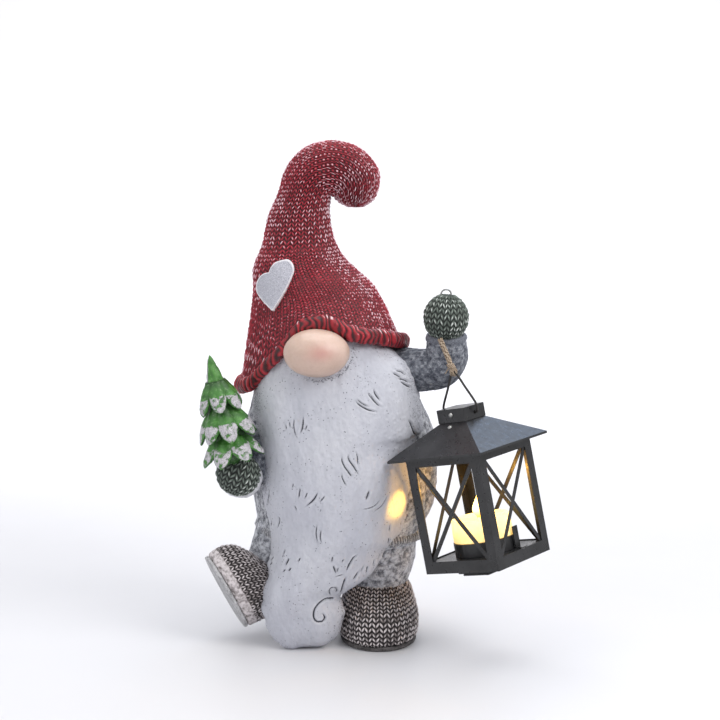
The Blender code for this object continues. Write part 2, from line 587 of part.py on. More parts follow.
collar_z = slope_top - 1.2
c = COLLAR_SIDE / 2
collar = lantern(block("lantern_collar", (-c, -c, collar_z), (c, c, collar_z + COLLAR_HEIGHT), BLACK))
hollow = as_cutter(block("cut_collar_hollow", (-c + SHEET, -c + SHEET, collar_z - 4), (c - SHEET, c - SHEET, collar_z + COLLAR_HEIGHT - SHEET), None))
bail_hole = as_cutter(tube("cut_bail_holes", [(-c - 4, 0, HOLE), (c + 4, 0, HOLE)], BAIL_WIRE + 0.55, None, 12))
roof_cut = as_cutter(loft("cut_roof_top", [square(ROOF_SIDE / 2 + 0.4, roof_z - 2), square(ROOF_SIDE / 2 + 0.4, roof_z + lip + 0.35),
                                           square(COLLAR_SIDE / 2 - 0.85, slope_top + 0.35)], None, sharp=None))
for cutter in (hollow, bail_hole, roof_cut):
    boolean(collar, cutter)
    lantern_pieces.append(cutter)


def rivet(name, at, direction, bore_in):
    """A small domed rivet with a short shank in a hole of the sheet."""
    d = Vector(direction).normalized()
    at = Vector(at)
    head = [at + d * t for t in (-1.6, 0.32, 0.33, 0.9, 1.35)]
    obj = lantern(tube(name, head, [0.9, 0.9, 2.1, 1.8, 0.8], STEEL, 12))
    hole = as_cutter(tube("cut_" + name, [at - d * 3, at + d * 3], 1.25, None, 12))
    lantern_pieces.append(hole)
    boolean(bore_in, hole)
    return obj


collar_rivet = rivet("collar_rivet", (0, -c, collar_z + 7.4), (0, -1, 0), collar)
slope = Vector((0, -ROOF_RISE, ROOF_SIDE / 2 - COLLAR_SIDE / 2 + 1.2)).normalized()
run = (ROOF_SIDE / 2 - c + 1.2)
roof_rivet = rivet("roof_rivet", (0, -c - 4.4, slope_top - ROOF_RISE * (5.6 / run)), slope, roof)

base_z = FLOOR_Z + GAP / MM
candle_base = lantern(drum("candle_base", (0, 0, base_z), CANDLE_R + 0.8, 11.5, BLACK_PLASTIC, 36))
shell_z = base_z + 11.5 + GAP / MM
candle = lantern(drum("candle_shell", (0, 0, shell_z), CANDLE_R, 19.0, WAX, 36, CANDLE_R - 0.8))
candle_hollow = as_cutter(drum("cut_candle", (0, 0, shell_z - 3), CANDLE_R - 1.6, 20.2, None, 36, CANDLE_R - 2.4))
lantern_pieces.append(candle_hollow)
boolean(candle, candle_hollow)
wick_hole = as_cutter(drum("cut_wick", (0, 0, shell_z), 3.1, 30, None, 16))
lantern_pieces.append(wick_hole)
boolean(candle, wick_hole)
board = lantern(drum("circuit_board", (0, 0, shell_z), 15.0, 1.6, BOARD, 28))
led = lantern(tube("led", [(0, 0, shell_z + 1.6 + GAP / MM + t) for t in (0, 13.0, 16.2, 17.8, 18.5)], [2.5, 2.5, 2.4, 1.7, 0.6], LED, 14))
flame_z = shell_z + 19.0 + GAP / MM
flame_rows = ((3.4, 0.0), (5.2, 2.4), (6.0, 5.4), (5.2, 8.8), (3.4, 12.4), (1.7, 15.4), (0.6, 17.2))
flame = lantern(loft("flame", [[(r * math.cos(a), r * 0.8 * math.sin(a), flame_z + z) for a in turns(18)] for r, z in flame_rows],
                     GLOW, None, (0, 0, flame_z + 17.8)))
flame_hollow = as_cutter(tube("cut_flame", [(0, 0, flame_z - 2), (0, 0, flame_z + 2.4)], 2.85, None, 16))
lantern_pieces.append(flame_hollow)
boolean(flame, flame_hollow)
clip = lantern(block("retaining_clip", (CANDLE_R + 2.2, 3.5, base_z), (CANDLE_R + 3.0, 10.5, base_z + 19), BLACK))
clip_foot = as_cutter(block("union_clip_foot", (CANDLE_R + 2.2, 3.5, base_z), (CANDLE_R + 10.0, 10.5, base_z + 0.8), None))
lantern_pieces.append(clip_foot)
boolean(clip, clip_foot, "UNION")

# Battery box under the floor, its sliding cover, its cells and the switch
box_top = FLOOR_Z - SHEET - GAP / MM
box_low = -2.6
battery_box = lantern(block("battery_box", (-10, -31, box_low), (22, 3, box_top), BLACK_PLASTIC))
box_hollow = as_cutter(block("cut_battery_box", (-5, -27, box_low - 4), (18.5, -1.2, box_top - 1.6), None))
switch_slot = as_cutter(block("cut_switch_slot", (-9.2, -22, box_low - 4), (-6.4, -12, box_low + 3.2), None))
for cutter in (box_hollow, switch_slot):
    boolean(battery_box, cutter)
    lantern_pieces.append(cutter)
cell_low = lantern(drum("coin_cell_low", (6.75, -14.1, box_low + 0.6), 10.0, 3.1, CELL, 32))
cell_top = lantern(drum("coin_cell_top", (6.75, -14.1, box_low + 4.1), 10.0, 3.1, CELL, 32))
battery_cover = lantern(block("battery_cover", (-5.4, -31, box_low - GAP / MM - 1.5), (21.6, -0.8, box_low - GAP / MM), BLACK_PLASTIC, 0.3))
switch = lantern(block("switch_slider", (-8.8, -16.5, box_low - 2.1), (-6.8, -13.0, box_low + 2.6), KNOB))

# ---------------------------------------------------------------- joints' empties and the row's origin
root = bpy.data.objects.new("gnome_origin", None)
swing = bpy.data.objects.new("swing_axis", None)
hang = bpy.data.objects.new("bail_axis", None)
for empty in (root, swing, hang):
    scene_objects.objects.link(empty)
shift = Matrix.Translation(ORIGIN)
lan_m = LAN.copy()
lan_m.translation = LAN.translation * MM
hang_at = LAN @ Vector((0, 0, HOLE)) * MM


def parent_to(obj, parent, world, parent_world):
    obj.parent = parent
    obj.matrix_parent_inverse = Matrix.Identity(4)
    obj.matrix_basis = parent_world.inverted() @ world


root_world = shift
root.matrix_basis = root_world
swing_world = shift @ Matrix.Translation(PIVOT * MM)
parent_to(swing, root, swing_world, root_world)
hang_world = shift @ Matrix.Translation(hang_at) @ LAN.to_3x3().to_4x4()
parent_to(hang, swing, hang_world, swing_world)
local_to_lantern = {obj.name for obj in lantern_pieces}
hanger = {"hanging_twine", "lantern_bail", "union_twine_loop"}
for obj in list(bpy.data.objects):
    if obj.type != "MESH":
        continue
    if obj.name in local_to_lantern:
        parent_to(obj, hang, shift @ lan_m, hang_world)
    elif obj.name in hanger:
        parent_to(obj, swing, shift, swing_world)
    else:
        parent_to(obj, root, shift @ obj.matrix_basis, root_world)
# The cover and the switch have their origins on their own slides
for obj in (battery_cover, switch):
    middle = sum((Vector(corner) for corner in obj.bound_box), Vector()) / 8
    obj.data.transform(Matrix.Translation(-middle))
    obj.matrix_basis = obj.matrix_basis @ Matrix.Translation(middle)
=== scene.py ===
import json
import math

import bpy
import numpy as np
from mathutils import Matrix, Vector
from mathutils.bvhtree import BVHTree

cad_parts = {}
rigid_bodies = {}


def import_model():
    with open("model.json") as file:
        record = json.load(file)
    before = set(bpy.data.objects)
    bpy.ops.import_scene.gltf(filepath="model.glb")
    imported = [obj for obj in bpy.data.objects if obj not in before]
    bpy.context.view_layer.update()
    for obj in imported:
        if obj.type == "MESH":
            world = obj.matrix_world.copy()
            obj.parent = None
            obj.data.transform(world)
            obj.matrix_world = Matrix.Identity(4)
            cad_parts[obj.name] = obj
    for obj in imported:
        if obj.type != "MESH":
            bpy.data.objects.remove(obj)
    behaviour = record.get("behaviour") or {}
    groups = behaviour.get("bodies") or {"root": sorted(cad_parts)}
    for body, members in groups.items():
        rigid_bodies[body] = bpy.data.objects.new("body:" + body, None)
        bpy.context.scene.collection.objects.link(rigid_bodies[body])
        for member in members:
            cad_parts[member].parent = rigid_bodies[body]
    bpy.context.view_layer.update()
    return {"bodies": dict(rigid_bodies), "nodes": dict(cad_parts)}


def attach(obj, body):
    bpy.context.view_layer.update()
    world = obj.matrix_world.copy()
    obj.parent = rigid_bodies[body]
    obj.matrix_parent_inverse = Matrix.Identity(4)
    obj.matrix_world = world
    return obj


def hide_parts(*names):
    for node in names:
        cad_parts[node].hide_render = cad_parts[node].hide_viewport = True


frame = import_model()

# Everything below is laid out in millimetres in the figure's own frame; ORIGIN moves it to the row frame.
GROUND = 4.2
ORIGIN = np.array([-36.2, 32.5, -GROUND])

# ================================================================ helpers
def hashed(i, j, k, seed):
    h = (i.astype(np.int64) * 73856093) ^ (j.astype(np.int64) * 19349663) ^ (k.astype(np.int64) * 83492791) ^ (seed * 2654435761 + 97)
    h = ((h ^ (h >> 13)) * 1274126177) & 0xFFFFFFFF
    h = ((h ^ (h >> 15)) * 2246822519) & 0xFFFFFFFF
    h = (h ^ (h >> 16)) & 0xFFFFFFFF
    return h / 4294967295.0


def noise(points, cell, seed=0):
    """Smooth value noise from -1 to 1. cell is a size in mm, or one per axis."""
    q = np.asarray(points, float) / np.asarray(cell, float)
    base = np.floor(q).astype(np.int64)
    f = q - base
    f = f * f * f * (f * (f * 6 - 15) + 10)
    total = 0.0
    for dx in (0, 1):
        for dy in (0, 1):
            for dz in (0, 1):
                w = ((f[..., 0] if dx else 1 - f[..., 0]) * (f[..., 1] if dy else 1 - f[..., 1])
                     * (f[..., 2] if dz else 1 - f[..., 2]))
                total = total + w * hashed(base[..., 0] + dx, base[..., 1] + dy, base[..., 2] + dz, seed)
    return total * 2 - 1


def fbm(points, cell, octaves=3, seed=0, gain=0.55):
    out, amp, total = 0.0, 1.0, 0.0
    size = np.asarray(cell, float)
    for o in range(octaves):
        out = out + amp * noise(points, size, seed + 17 * o)
        total += amp
        amp *= gain
        size = size / 2.03
    return out / total


def smooth(x, lo, hi):
    t = np.clip((x - lo) / (hi - lo), 0, 1)
    return t * t * (3 - 2 * t)


def eased(table, per):
    """The table's rows with `per` steps between neighbours (a number, or one per span), on a Catmull-Rom curve."""
    rows = np.asarray(table, float)
    padded = np.concatenate([2 * rows[:1] - rows[1:2], rows, 2 * rows[-1:] - rows[-2:-1]])
    out = []
    for i in range(len(rows) - 1):
        a, b, c, d = padded[i:i + 4]
        n = per[i] if hasattr(per, "__len__") else per
        for s in np.arange(n) / n:
            out.append(0.5 * (2 * b + (c - a) * s + (2 * a - 5 * b + 4 * c - d) * s**2 + (3 * b - a - 3 * c + d) * s**3))
    return np.array(out + [rows[-1]])


def turns(count):
    return np.arange(count) * 2 * np.pi / count


def power(v, e):
    return np.sign(v) * np.abs(v) ** e


def normals_of(grid, closed=True):
    """Unit normals of a (rows, columns, 3) grid whose rows close on themselves."""
    if closed:
        du = np.roll(grid, -1, 1) - np.roll(grid, 1, 1)
    else:
        du = np.gradient(grid, axis=1)
    dv = np.gradient(grid, axis=0)
    n = np.cross(du, dv)
    length = np.linalg.norm(n, axis=2, keepdims=True)
    n = n / np.maximum(length, 1e-9)
    centre = grid.mean(axis=(0, 1))
    if ((grid - centre) * n).sum() < 0:
        n = -n
    return n


def stitches(a, b, slant=0.9, sharp=0.6):
    """Height of knit V stitches. a counts wales, b counts rows. Returns height 0 to 1 and a random number per stitch leg."""
    t = np.abs(a - np.floor(a) - 0.5) * 2
    s = b - slant * t
    f = s - np.floor(s)
    leg = np.floor(2 * a)
    rnd = hashed(leg, np.floor(s), np.zeros_like(leg), 5)
    h = (0.5 + 0.5 * np.cos(2 * np.pi * (f - 0.5))) ** sharp * np.sin(np.pi * np.clip(t, 0, 1)) ** 0.5
    return h, rnd


def build(name, verts, faces, material, body, attrs=None, stands_for=(), flat=False):
    mesh = bpy.data.meshes.new(name)
    pts = (np.asarray(verts, float) + ORIGIN) * 0.001
    mesh.from_pydata(pts.tolist(), [], [list(f) for f in faces])
    for key, values in (attrs or {}).items():
        layer = mesh.attributes.new(key, "FLOAT", "POINT")
        layer.data.foreach_set("value", np.asarray(values, np.float32).reshape(-1))
    mesh.validate()
    if not flat:
        mesh.shade_smooth()
    obj = bpy.data.objects.new(name, mesh)
    bpy.context.scene.collection.objects.link(obj)
    mesh.materials.append(material)
    mesh.update()
    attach(obj, body)
    if stands_for:
        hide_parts(*stands_for)
    return obj


def grid_faces(rows, cols, closed=True, first=0):
    i = np.arange(rows - 1)[:, None] * cols
    j = np.arange(cols if closed else cols - 1)[None, :]
    k = (j + 1) % cols
    quads = np.stack([i + j, i + k, i + cols + k, i + cols + j], -1).reshape(-1, 4) + first
    return quads.tolist()


def skin(name, grid, material, body, attrs=None, caps=(None, None), stands_for=()):
    """A closed mesh from a grid of rings, with a fan to a point at each end."""
    rows, cols = grid.shape[:2]
    n = normals_of(grid)
    verts = grid.reshape(-1, 3)
    faces = grid_faces(rows, cols)
    values = {key: np.asarray(v, float).reshape(-1) for key, v in (attrs or {}).items()}
    for end, cap in enumerate(caps):
        row = np.arange(cols) + (rows - 1) * cols * end
        point = verts[row].mean(0) if cap is None else np.asarray(cap, float)
        tip = len(verts)
        verts = np.vstack([verts, point])
        for key in values:
            values[key] = np.append(values[key], values[key][row].mean())
        nxt = np.roll(row, -1)
        tri = np.stack([row, nxt, np.full(cols, tip)], -1)
        faces += (tri[:, ::-1] if end == 0 else tri).tolist()
    # Faces point out: compare one quad's winding with the outward normals
    a, b, c = verts[faces[len(faces) // 3][0]], verts[faces[len(faces) // 3][1]], verts[faces[len(faces) // 3][2]]
    r, q = divmod(faces[len(faces) // 3][0], cols)
    if np.dot(np.cross(b - a, c - a), n[min(r, rows - 1), q]) < 0:
        faces = [f[::-1] for f in faces]
    return build(name, verts, faces, material, body, values, stands_for)


def tube_grid(table, per, count):
    """Rings round a spine of rows x, y, z, radius."""
    rows = eased(table, per)
    spine = rows[:, :3]
    ahead = np.gradient(spine, axis=0)
    ahead /= np.linalg.norm(ahead, axis=1, keepdims=True)
    side = np.cross(ahead[0], [0.3, 0.2, 1.0]) if abs(ahead[0][2]) < 0.9 else np.cross(ahead[0], [1.0, 0, 0])
    side /= np.linalg.norm(side)
    a = turns(count)
    grid = []
    for p, d, r in zip(spine, ahead, rows[:, 3]):
        side = side - d * side.dot(d)
        side /= np.linalg.norm(side)
        other = np.cross(d, side)
        grid.append(p + r * (np.cos(a)[:, None] * side + np.sin(a)[:, None] * other))
    return np.array(grid)


def arc_along(grid):
    """Length along each column of the grid from its first row, mm."""
    steps = np.linalg.norm(np.diff(grid, axis=0), axis=2)
    return np.vstack([np.zeros((1, grid.shape[1])), np.cumsum(steps, axis=0)])


# ================================================================ materials
class Paint:
    """A principled material built from noise and from the mesh's own relief."""

    def __init__(self, name):
        self.material = bpy.data.materials.new(name)
        self.material.use_nodes = True
        self.tree = self.material.node_tree
        self.shader = self.tree.nodes["Principled BSDF"]
        self._where = None

    def node(self, kind, **props):
        made = self.tree.nodes.new(kind)
        for key, value in props.items():
            setattr(made, key, value)
        return made

    def link(self, a, b):
        self.tree.links.new(a, b)
        return self

    def feed(self, socket, value):
        if isinstance(value, bpy.types.NodeSocket):
            self.tree.links.new(value, socket)
        elif isinstance(value, (tuple, list)) and len(value) == 3 and socket.type == "RGBA":
            socket.default_value = (*value, 1.0)
        else:
            socket.default_value = value

    def where(self, stretch=None):
        if self._where is None:
            self._where = self.node("ShaderNodeTexCoord").outputs["Object"]
        if stretch is None:
            return self._where
        mapping = self.node("ShaderNodeMapping")
        self.link(self._where, mapping.inputs["Vector"])
        mapping.inputs["Scale"].default_value = stretch
        return mapping.outputs["Vector"]

    def noise(self, scale, detail=3.0, rough=0.55, stretch=None, distortion=0.0):
        made = self.node("ShaderNodeTexNoise")
        self.link(self.where(stretch), made.inputs["Vector"])
        made.inputs["Scale"].default_value = scale
        made.inputs["Detail"].default_value = detail
        made.inputs["Roughness"].default_value = rough
        made.inputs["Distortion"].default_value = distortion
        return made.outputs["Fac"]

    def cells(self, scale, feature="F1", stretch=None):
        made = self.node("ShaderNodeTexVoronoi", feature=feature)
        self.link(self.where(stretch), made.inputs["Vector"])
        made.inputs["Scale"].default_value = scale
        return made.outputs["Distance"]

    def attr(self, name):
        made = self.node("ShaderNodeAttribute", attribute_name=name)
        return made.outputs["Fac"]

    def ramp(self, fac, stops, smooth_steps=False):
        made = self.node("ShaderNodeValToRGB")
        self.link(fac, made.inputs["Fac"])
        ramp = made.color_ramp
        if smooth_steps:
            ramp.interpolation = "EASE"
        while len(ramp.elements) < len(stops):
            ramp.elements.new(0.5)
        for element, (at, value) in zip(ramp.elements, stops):
            element.position = at
            element.color = (value, value, value, 1.0) if isinstance(value, (int, float)) else (*value, 1.0)
        return made.outputs["Color"]

    def math(self, op, a, b=0.5, clamp=False):
        made = self.node("ShaderNodeMath", operation=op, use_clamp=clamp)
        self.feed(made.inputs[0], a)
        self.feed(made.inputs[1], b)
        return made.outputs[0]

    def mix(self, fac, a, b, mode="MIX"):
        made = self.node("ShaderNodeMix", data_type="RGBA", blend_type=mode)
        self.feed(made.inputs[0], fac)
        self.feed(made.inputs[6], a)
        self.feed(made.inputs[7], b)
        return made.outputs[2]

    def bump(self, height, strength, distance, under=None):
        made = self.node("ShaderNodeBump")
        self.link(height, made.inputs["Height"])
        made.inputs["Strength"].default_value = strength
        made.inputs["Distance"].default_value = distance
        if under is not None:
            self.link(under, made.inputs["Normal"])
        return made.outputs["Normal"]

    def done(self, colour, roughness, normal=None, **constants):
        self.feed(self.shader.inputs["Base Color"], colour)
        self.feed(self.shader.inputs["Roughness"], roughness)
        if normal is not None:
            self.link(normal, self.shader.inputs["Normal"])
        for key, value in constants.items():
            self.feed(self.shader.inputs[key.replace("_", " ")], value)
        return self.material


def knit_paint(name, groove, dark, body, bright, frost, amount=1.0, rough=(0.5, 0.75), grain=1500.0):
    """Painted knit: darker in the grooves, dry-brushed frost on the ridges."""
    p = Paint(name)
    relief_and_shade, cold = p.attr("relief_and_shade"), p.attr("frost")
    patch = p.noise(70.0, 3.0)
    fine = p.noise(grain, 4.0, 0.65)
    level = p.math("ADD", relief_and_shade, p.math("MULTIPLY", p.math("SUBTRACT", fine, 0.5), 0.35))
    base = p.ramp(level, [(0.08, groove), (0.3, dark), (0.58, body), (0.95, bright)])
    base = p.mix(p.math("MULTIPLY", p.ramp(patch, [(0.35, 0.0), (0.7, 1.0)]), 0.35), base, dark)
    speck = p.noise(620.0, 4.0, 0.7)
    above = p.math("SUBTRACT", relief_and_shade, p.math("SUBTRACT", 1.02, p.math("MULTIPLY", cold, 0.52 * amount)))
    above = p.math("ADD", above, p.math("MULTIPLY", p.math("SUBTRACT", speck, 0.5), 0.5))
    mask = p.math("MULTIPLY", above, 5.0, True)
    chill = p.mix(p.noise(240.0, 2.0), frost, tuple(0.78 * c + 0.22 * d for c, d in zip(frost, bright)))
    colour = p.mix(p.math("MULTIPLY", mask, 0.88), base, chill)
    roughness = p.ramp(p.noise(160.0, 3.0), [(0.3, rough[0]), (0.75, rough[1])])
    yarn = p.bump(fine, 0.35, 0.0006)
    coarse = p.bump(p.noise(420.0, 3.0), 0.3, 0.0012, yarn)
    return p.done(colour, roughness, coarse)


def wool_paint(name, dark, mid, light, cover=0.5, scale=520.0):
    """Rough cast wool: dark hollows, grey body, white dry-brush on the peaks."""
    p = Paint(name)
    relief_and_shade = p.attr("relief_and_shade")
    fine = p.noise(scale * 2.2, 4.0, 0.65)
    clump = p.noise(scale, 3.0, 0.6)
    level = p.math("ADD", p.math("MULTIPLY", relief_and_shade, 0.5), p.math("ADD", 0.12, p.math("MULTIPLY", p.math("SUBTRACT", fine, 0.5), 0.9)))
    base = p.ramp(level, [(0.0, dark), (0.3, mid), (0.62, tuple(0.5 * (a + b) for a, b in zip(mid, light))), (0.95, light)])
    fleck = p.math("MULTIPLY", p.math("SUBTRACT", p.math("ADD", clump, p.math("MULTIPLY", relief_and_shade, 0.35)), 0.86 - 0.24 * cover), 4.5, True)
    colour = p.mix(p.math("MULTIPLY", fleck, 0.55), base, light)
    pits = p.math("MULTIPLY", p.math("SUBTRACT", p.noise(scale * 1.4, 3.0, 0.7), 0.6), 8.0, True)
    colour = p.mix(p.math("MULTIPLY", pits, 0.5), colour, dark)
    normal = p.bump(clump, 0.6, 0.0012, p.bump(fine, 0.5, 0.0006))
    return p.done(colour, p.ramp(p.noise(90.0), [(0.3, 0.72), (0.7, 0.92)]), normal)


def beard_paint():
    p = Paint("beard_white_paint")
    cut, shade, specks_and_shade = p.attr("cut"), p.attr("shade"), p.attr("specks_and_shade")
    broad = p.noise(18.0, 3.0, 0.5, stretch=(1.0, 1.0, 0.55))
    base = p.ramp(broad, [(0.25, (0.49, 0.495, 0.56)), (0.5, (0.56, 0.565, 0.62)), (0.75, (0.64, 0.64, 0.68))])
    haze = p.noise(260.0, 4.0, 0.6, stretch=(1.0, 1.0, 0.6))
    base = p.mix(p.math("MULTIPLY", p.ramp(haze, [(0.42, 0.0), (0.72, 1.0)]), 0.35), base, (0.38, 0.385, 0.44))
    base = p.mix(p.math("MULTIPLY", shade, 0.55), base, (0.42, 0.44, 0.5))
    # dark specks, thicker where the speck attribute is high: random speckle, plus painted shade under the nose and
    # along both sides of the beard
    dots = p.cells(330.0)
    sparse = p.noise(95.0, 3.0, 0.6)
    near = p.math("SUBTRACT", 0.21, dots)
    gate = p.math("ADD", p.math("SUBTRACT", sparse, 0.51), p.math("MULTIPLY", specks_and_shade, 0.35))
    speck = p.math("MULTIPLY", p.math("MULTIPLY", near, 14.0, True), p.math("MULTIPLY", gate, 14.0, True), True)
    colour = p.mix(p.math("MULTIPLY", speck, 0.75), base, (0.07, 0.075, 0.1))
    # Dark flakes, also thicker in the painted shade under the nose and along the beard's sides
    flake = p.math("MULTIPLY", p.math("SUBTRACT", p.math("ADD", p.noise(700.0, 4.0, 0.7), p.math("MULTIPLY", specks_and_shade, 0.28)), 0.71), 9.0, True)
    colour = p.mix(p.math("MULTIPLY", flake, 0.8), colour, (0.06, 0.065, 0.09))
    ink = p.math("MULTIPLY", p.math("SUBTRACT", p.math("ADD", cut, p.math("MULTIPLY", p.math("SUBTRACT", p.noise(900.0, 3.0), 0.5), 0.5)), 0.42), 3.2, True)
    colour = p.mix(p.math("MULTIPLY", ink, 0.93), colour, (0.025, 0.028, 0.04))
    # Painted highlight: the raised ridges beside the carved lines are painted lighter
    lip_and_highlight = p.attr("lip_and_highlight")
    colour = p.mix(p.math("MULTIPLY", lip_and_highlight, 0.35), colour, (0.72, 0.72, 0.75))
    grain = p.bump(p.noise(520.0, 5.0, 0.62, stretch=(1.0, 1.0, 0.5)), 0.4, 0.0012)
    normal = p.bump(p.noise(1900.0, 2.0), 0.18, 0.0004, grain)
    return p.done(colour, p.ramp(p.noise(140.0, 3.0), [(0.3, 0.5), (0.7, 0.72)]), normal)


def nose_paint():
    p = Paint("nose_skin_paint")
    blush, nose_underside_shade = p.attr("blush"), p.attr("nose_underside_shade")
    tone = p.noise(40.0, 3.0, 0.5)
    base = p.ramp(tone, [(0.3, (0.58, 0.42, 0.34)), (0.7, (0.66, 0.49, 0.41))])
    mottled = p.noise(420.0, 4.0, 0.6)
    base = p.mix(p.math("MULTIPLY", p.ramp(mottled, [(0.5, 0.0), (0.8, 1.0)]), 0.35), base, (0.47, 0.32, 0.245))
    base = p.mix(p.math("MULTIPLY", blush, 0.5), base, (0.56, 0.22, 0.2))
    # Painted shade: the underside and the right end of the nose are painted darker
    base = p.mix(p.math("MULTIPLY", nose_underside_shade, 0.7), base, (0.24, 0.17, 0.13))
    normal = p.bump(mottled, 0.12, 0.0007, p.bump(p.noise(1500.0, 2.0), 0.12, 0.0003))
    return p.done(base, p.ramp(p.noise(150.0), [(0.3, 0.3), (0.75, 0.46)]), normal, Coat_Weight=0.04, Coat_Roughness=0.25,
                  Subsurface_Weight=0.08, Subsurface_Radius=(0.004, 0.002, 0.001))


def heart_paint():
    p = Paint("heart_glitter_paint")
    rim = p.attr("rim")
    grain = p.noise(1500.0, 4.0, 0.7)
    cells = p.cells(900.0)
    base = p.ramp(grain, [(0.3, (0.30, 0.30, 0.35)), (0.5, (0.50, 0.50, 0.56)), (0.72, (0.80, 0.79, 0.84))])
    base = p.mix(p.math("MULTIPLY", rim, 0.75), base, (0.93, 0.90, 0.92))
    normal = p.bump(cells, 0.55, 0.0008, p.bump(grain, 0.6, 0.0006))
    shine = p.ramp(p.cells(1300.0), [(0.1, 0.25), (0.5, 0.75)])
    return p.done(base, shine, normal, Metallic=0.12)


def tree_paint():
    p = Paint("fir_green_paint")
    snow, relief_and_shade = p.attr("snow"), p.attr("relief_and_shade")
    tone = p.noise(130.0, 3.0)
    veins = p.noise(420.0, 3.0, 0.6)
    green = p.ramp(tone, [(0.3, (0.025, 0.10, 0.016)), (0.55, (0.055, 0.20, 0.03)), (0.8, (0.12, 0.32, 0.07))])
    # Painted shade: on the tree this value makes the green darker under the branches, near the trunk and on the trunk
    # below the branches
    green = p.mix(p.math("SUBTRACT", 1.0, relief_and_shade, True), green, (0.012, 0.04, 0.012))
    green = p.mix(p.math("MULTIPLY", p.ramp(veins, [(0.55, 0.0), (0.75, 1.0)]), 0.45), green, (0.3, 0.5, 0.22))
    flake = p.noise(620.0, 4.0, 0.7)
    mask = p.math("MULTIPLY", p.math("SUBTRACT", p.math("ADD", snow, p.math("MULTIPLY", p.math("SUBTRACT", flake, 0.5), 0.9)), 0.42), 5.0, True)
    white = p.ramp(p.noise(900.0, 4.0, 0.7), [(0.3, (0.28, 0.26, 0.28)), (0.52, (0.52, 0.50, 0.53)), (0.75, (0.80, 0.78, 0.80))])
    colour = p.mix(mask, green, white)
    normal = p.bump(mask, 0.5, 0.0009, p.bump(flake, 0.45, 0.0008))
    return p.done(colour, p.math("ADD", p.math("MULTIPLY", mask, 0.3), 0.38), normal)


def lacquer(name, tint=(0.0115, 0.0115, 0.0125), rough=(0.24, 0.42), strength=0.08, **more):
    """Black lacquer on sheet steel, with dust, faint scratches and an uneven coat."""
    p = Paint(name)
    cloud = p.noise(60.0, 3.0)
    base = p.ramp(cloud, [(0.3, tint), (0.75, tuple(2.0 * c + 0.006 for c in tint))])
    dust = p.math("MULTIPLY", p.math("SUBTRACT", p.noise(900.0, 4.0, 0.75), 0.66), 6.0, True)
    base = p.mix(p.math("MULTIPLY", dust, 0.35), base, (0.16, 0.16, 0.165))
    lines = p.noise(90.0, 5.0, 0.7, stretch=(1.0, 1.0, 14.0))
    scratch = p.math("MULTIPLY", p.math("SUBTRACT", lines, 0.68), 9.0, True)
    base = p.mix(p.math("MULTIPLY", scratch, 0.3), base, (0.12, 0.12, 0.125))
    roughness = p.ramp(p.noise(220.0, 4.0), [(0.3, rough[0]), (0.75, rough[1])])
    roughness = p.math("ADD", roughness, p.math("MULTIPLY", dust, 0.25), True)
    normal = p.bump(p.noise(300.0, 3.0), strength, 0.0006, p.bump(p.noise(35.0, 2.0), 0.12, 0.0015))
    return p.done(base, roughness, normal, **more)


def plain(name, low, high, rough=(0.35, 0.5), scale=200.0, bump=0.1, **more):
    p = Paint(name)
    base = p.ramp(p.noise(scale, 4.0), [(0.3, low), (0.7, high)])
    dust = p.math("MULTIPLY", p.math("SUBTRACT", p.noise(scale * 5, 3.0, 0.7), 0.64), 6.0, True)
    base = p.mix(p.math("MULTIPLY", dust, 0.3), base, tuple(min(1.0, 0.7 * c + 0.18) for c in high))
    normal = p.bump(p.noise(scale * 4, 4.0), bump, 0.0006)
    return p.done(base, p.ramp(p.noise(scale * 1.5, 3.0), [(0.3, rough[0]), (0.7, rough[1])]), normal, **more)


HAT_PAINT = knit_paint("red_knit_paint", (0.012, 0.001, 0.003), (0.085, 0.003, 0.008), (0.34, 0.010, 0.026), (0.56, 0.03, 0.055), (0.82, 0.70, 0.77), 1.0)
RIB_PAINT = knit_paint("brim_red_paint", (0.02, 0.001, 0.003), (0.12, 0.003, 0.008), (0.34, 0.009, 0.018), (0.54, 0.03, 0.045), (0.84, 0.74, 0.77), 1.0, (0.34, 0.6))
BOOT_PAINT = knit_paint("boot_brown_grey_paint", (0.006, 0.005, 0.006), (0.035, 0.029, 0.029), (0.21, 0.18, 0.178), (0.42, 0.375, 0.372), (0.76, 0.70, 0.71), 1.0, (0.6, 0.85))
MITTEN_PAINT = knit_paint("mitten_green_grey_paint", (0.004, 0.005, 0.005), (0.022, 0.029, 0.024), (0.10, 0.125, 0.105), (0.23, 0.27, 0.235), (0.78, 0.81, 0.78), 1.0, (0.55, 0.8))
COAT_PAINT = wool_paint("coat_grey_paint", (0.025, 0.026, 0.032), (0.23, 0.235, 0.265), (0.78, 0.79, 0.83), 1.05, 700.0)
SLEEVE_PAINT = wool_paint("sleeve_grey_paint", (0.012, 0.014, 0.02), (0.115, 0.125, 0.155), (0.55, 0.57, 0.61), 0.25, 620.0)
TROUSER_PAINT = wool_paint("trouser_dark_paint", (0.025, 0.026, 0.032), (0.27, 0.275, 0.31), (0.80, 0.81, 0.86), 1.1, 760.0)
SOLE_PAINT = wool_paint("sole_pale_paint", (0.08, 0.08, 0.085), (0.38, 0.375, 0.385), (0.74, 0.73, 0.74), 0.45, 300.0)
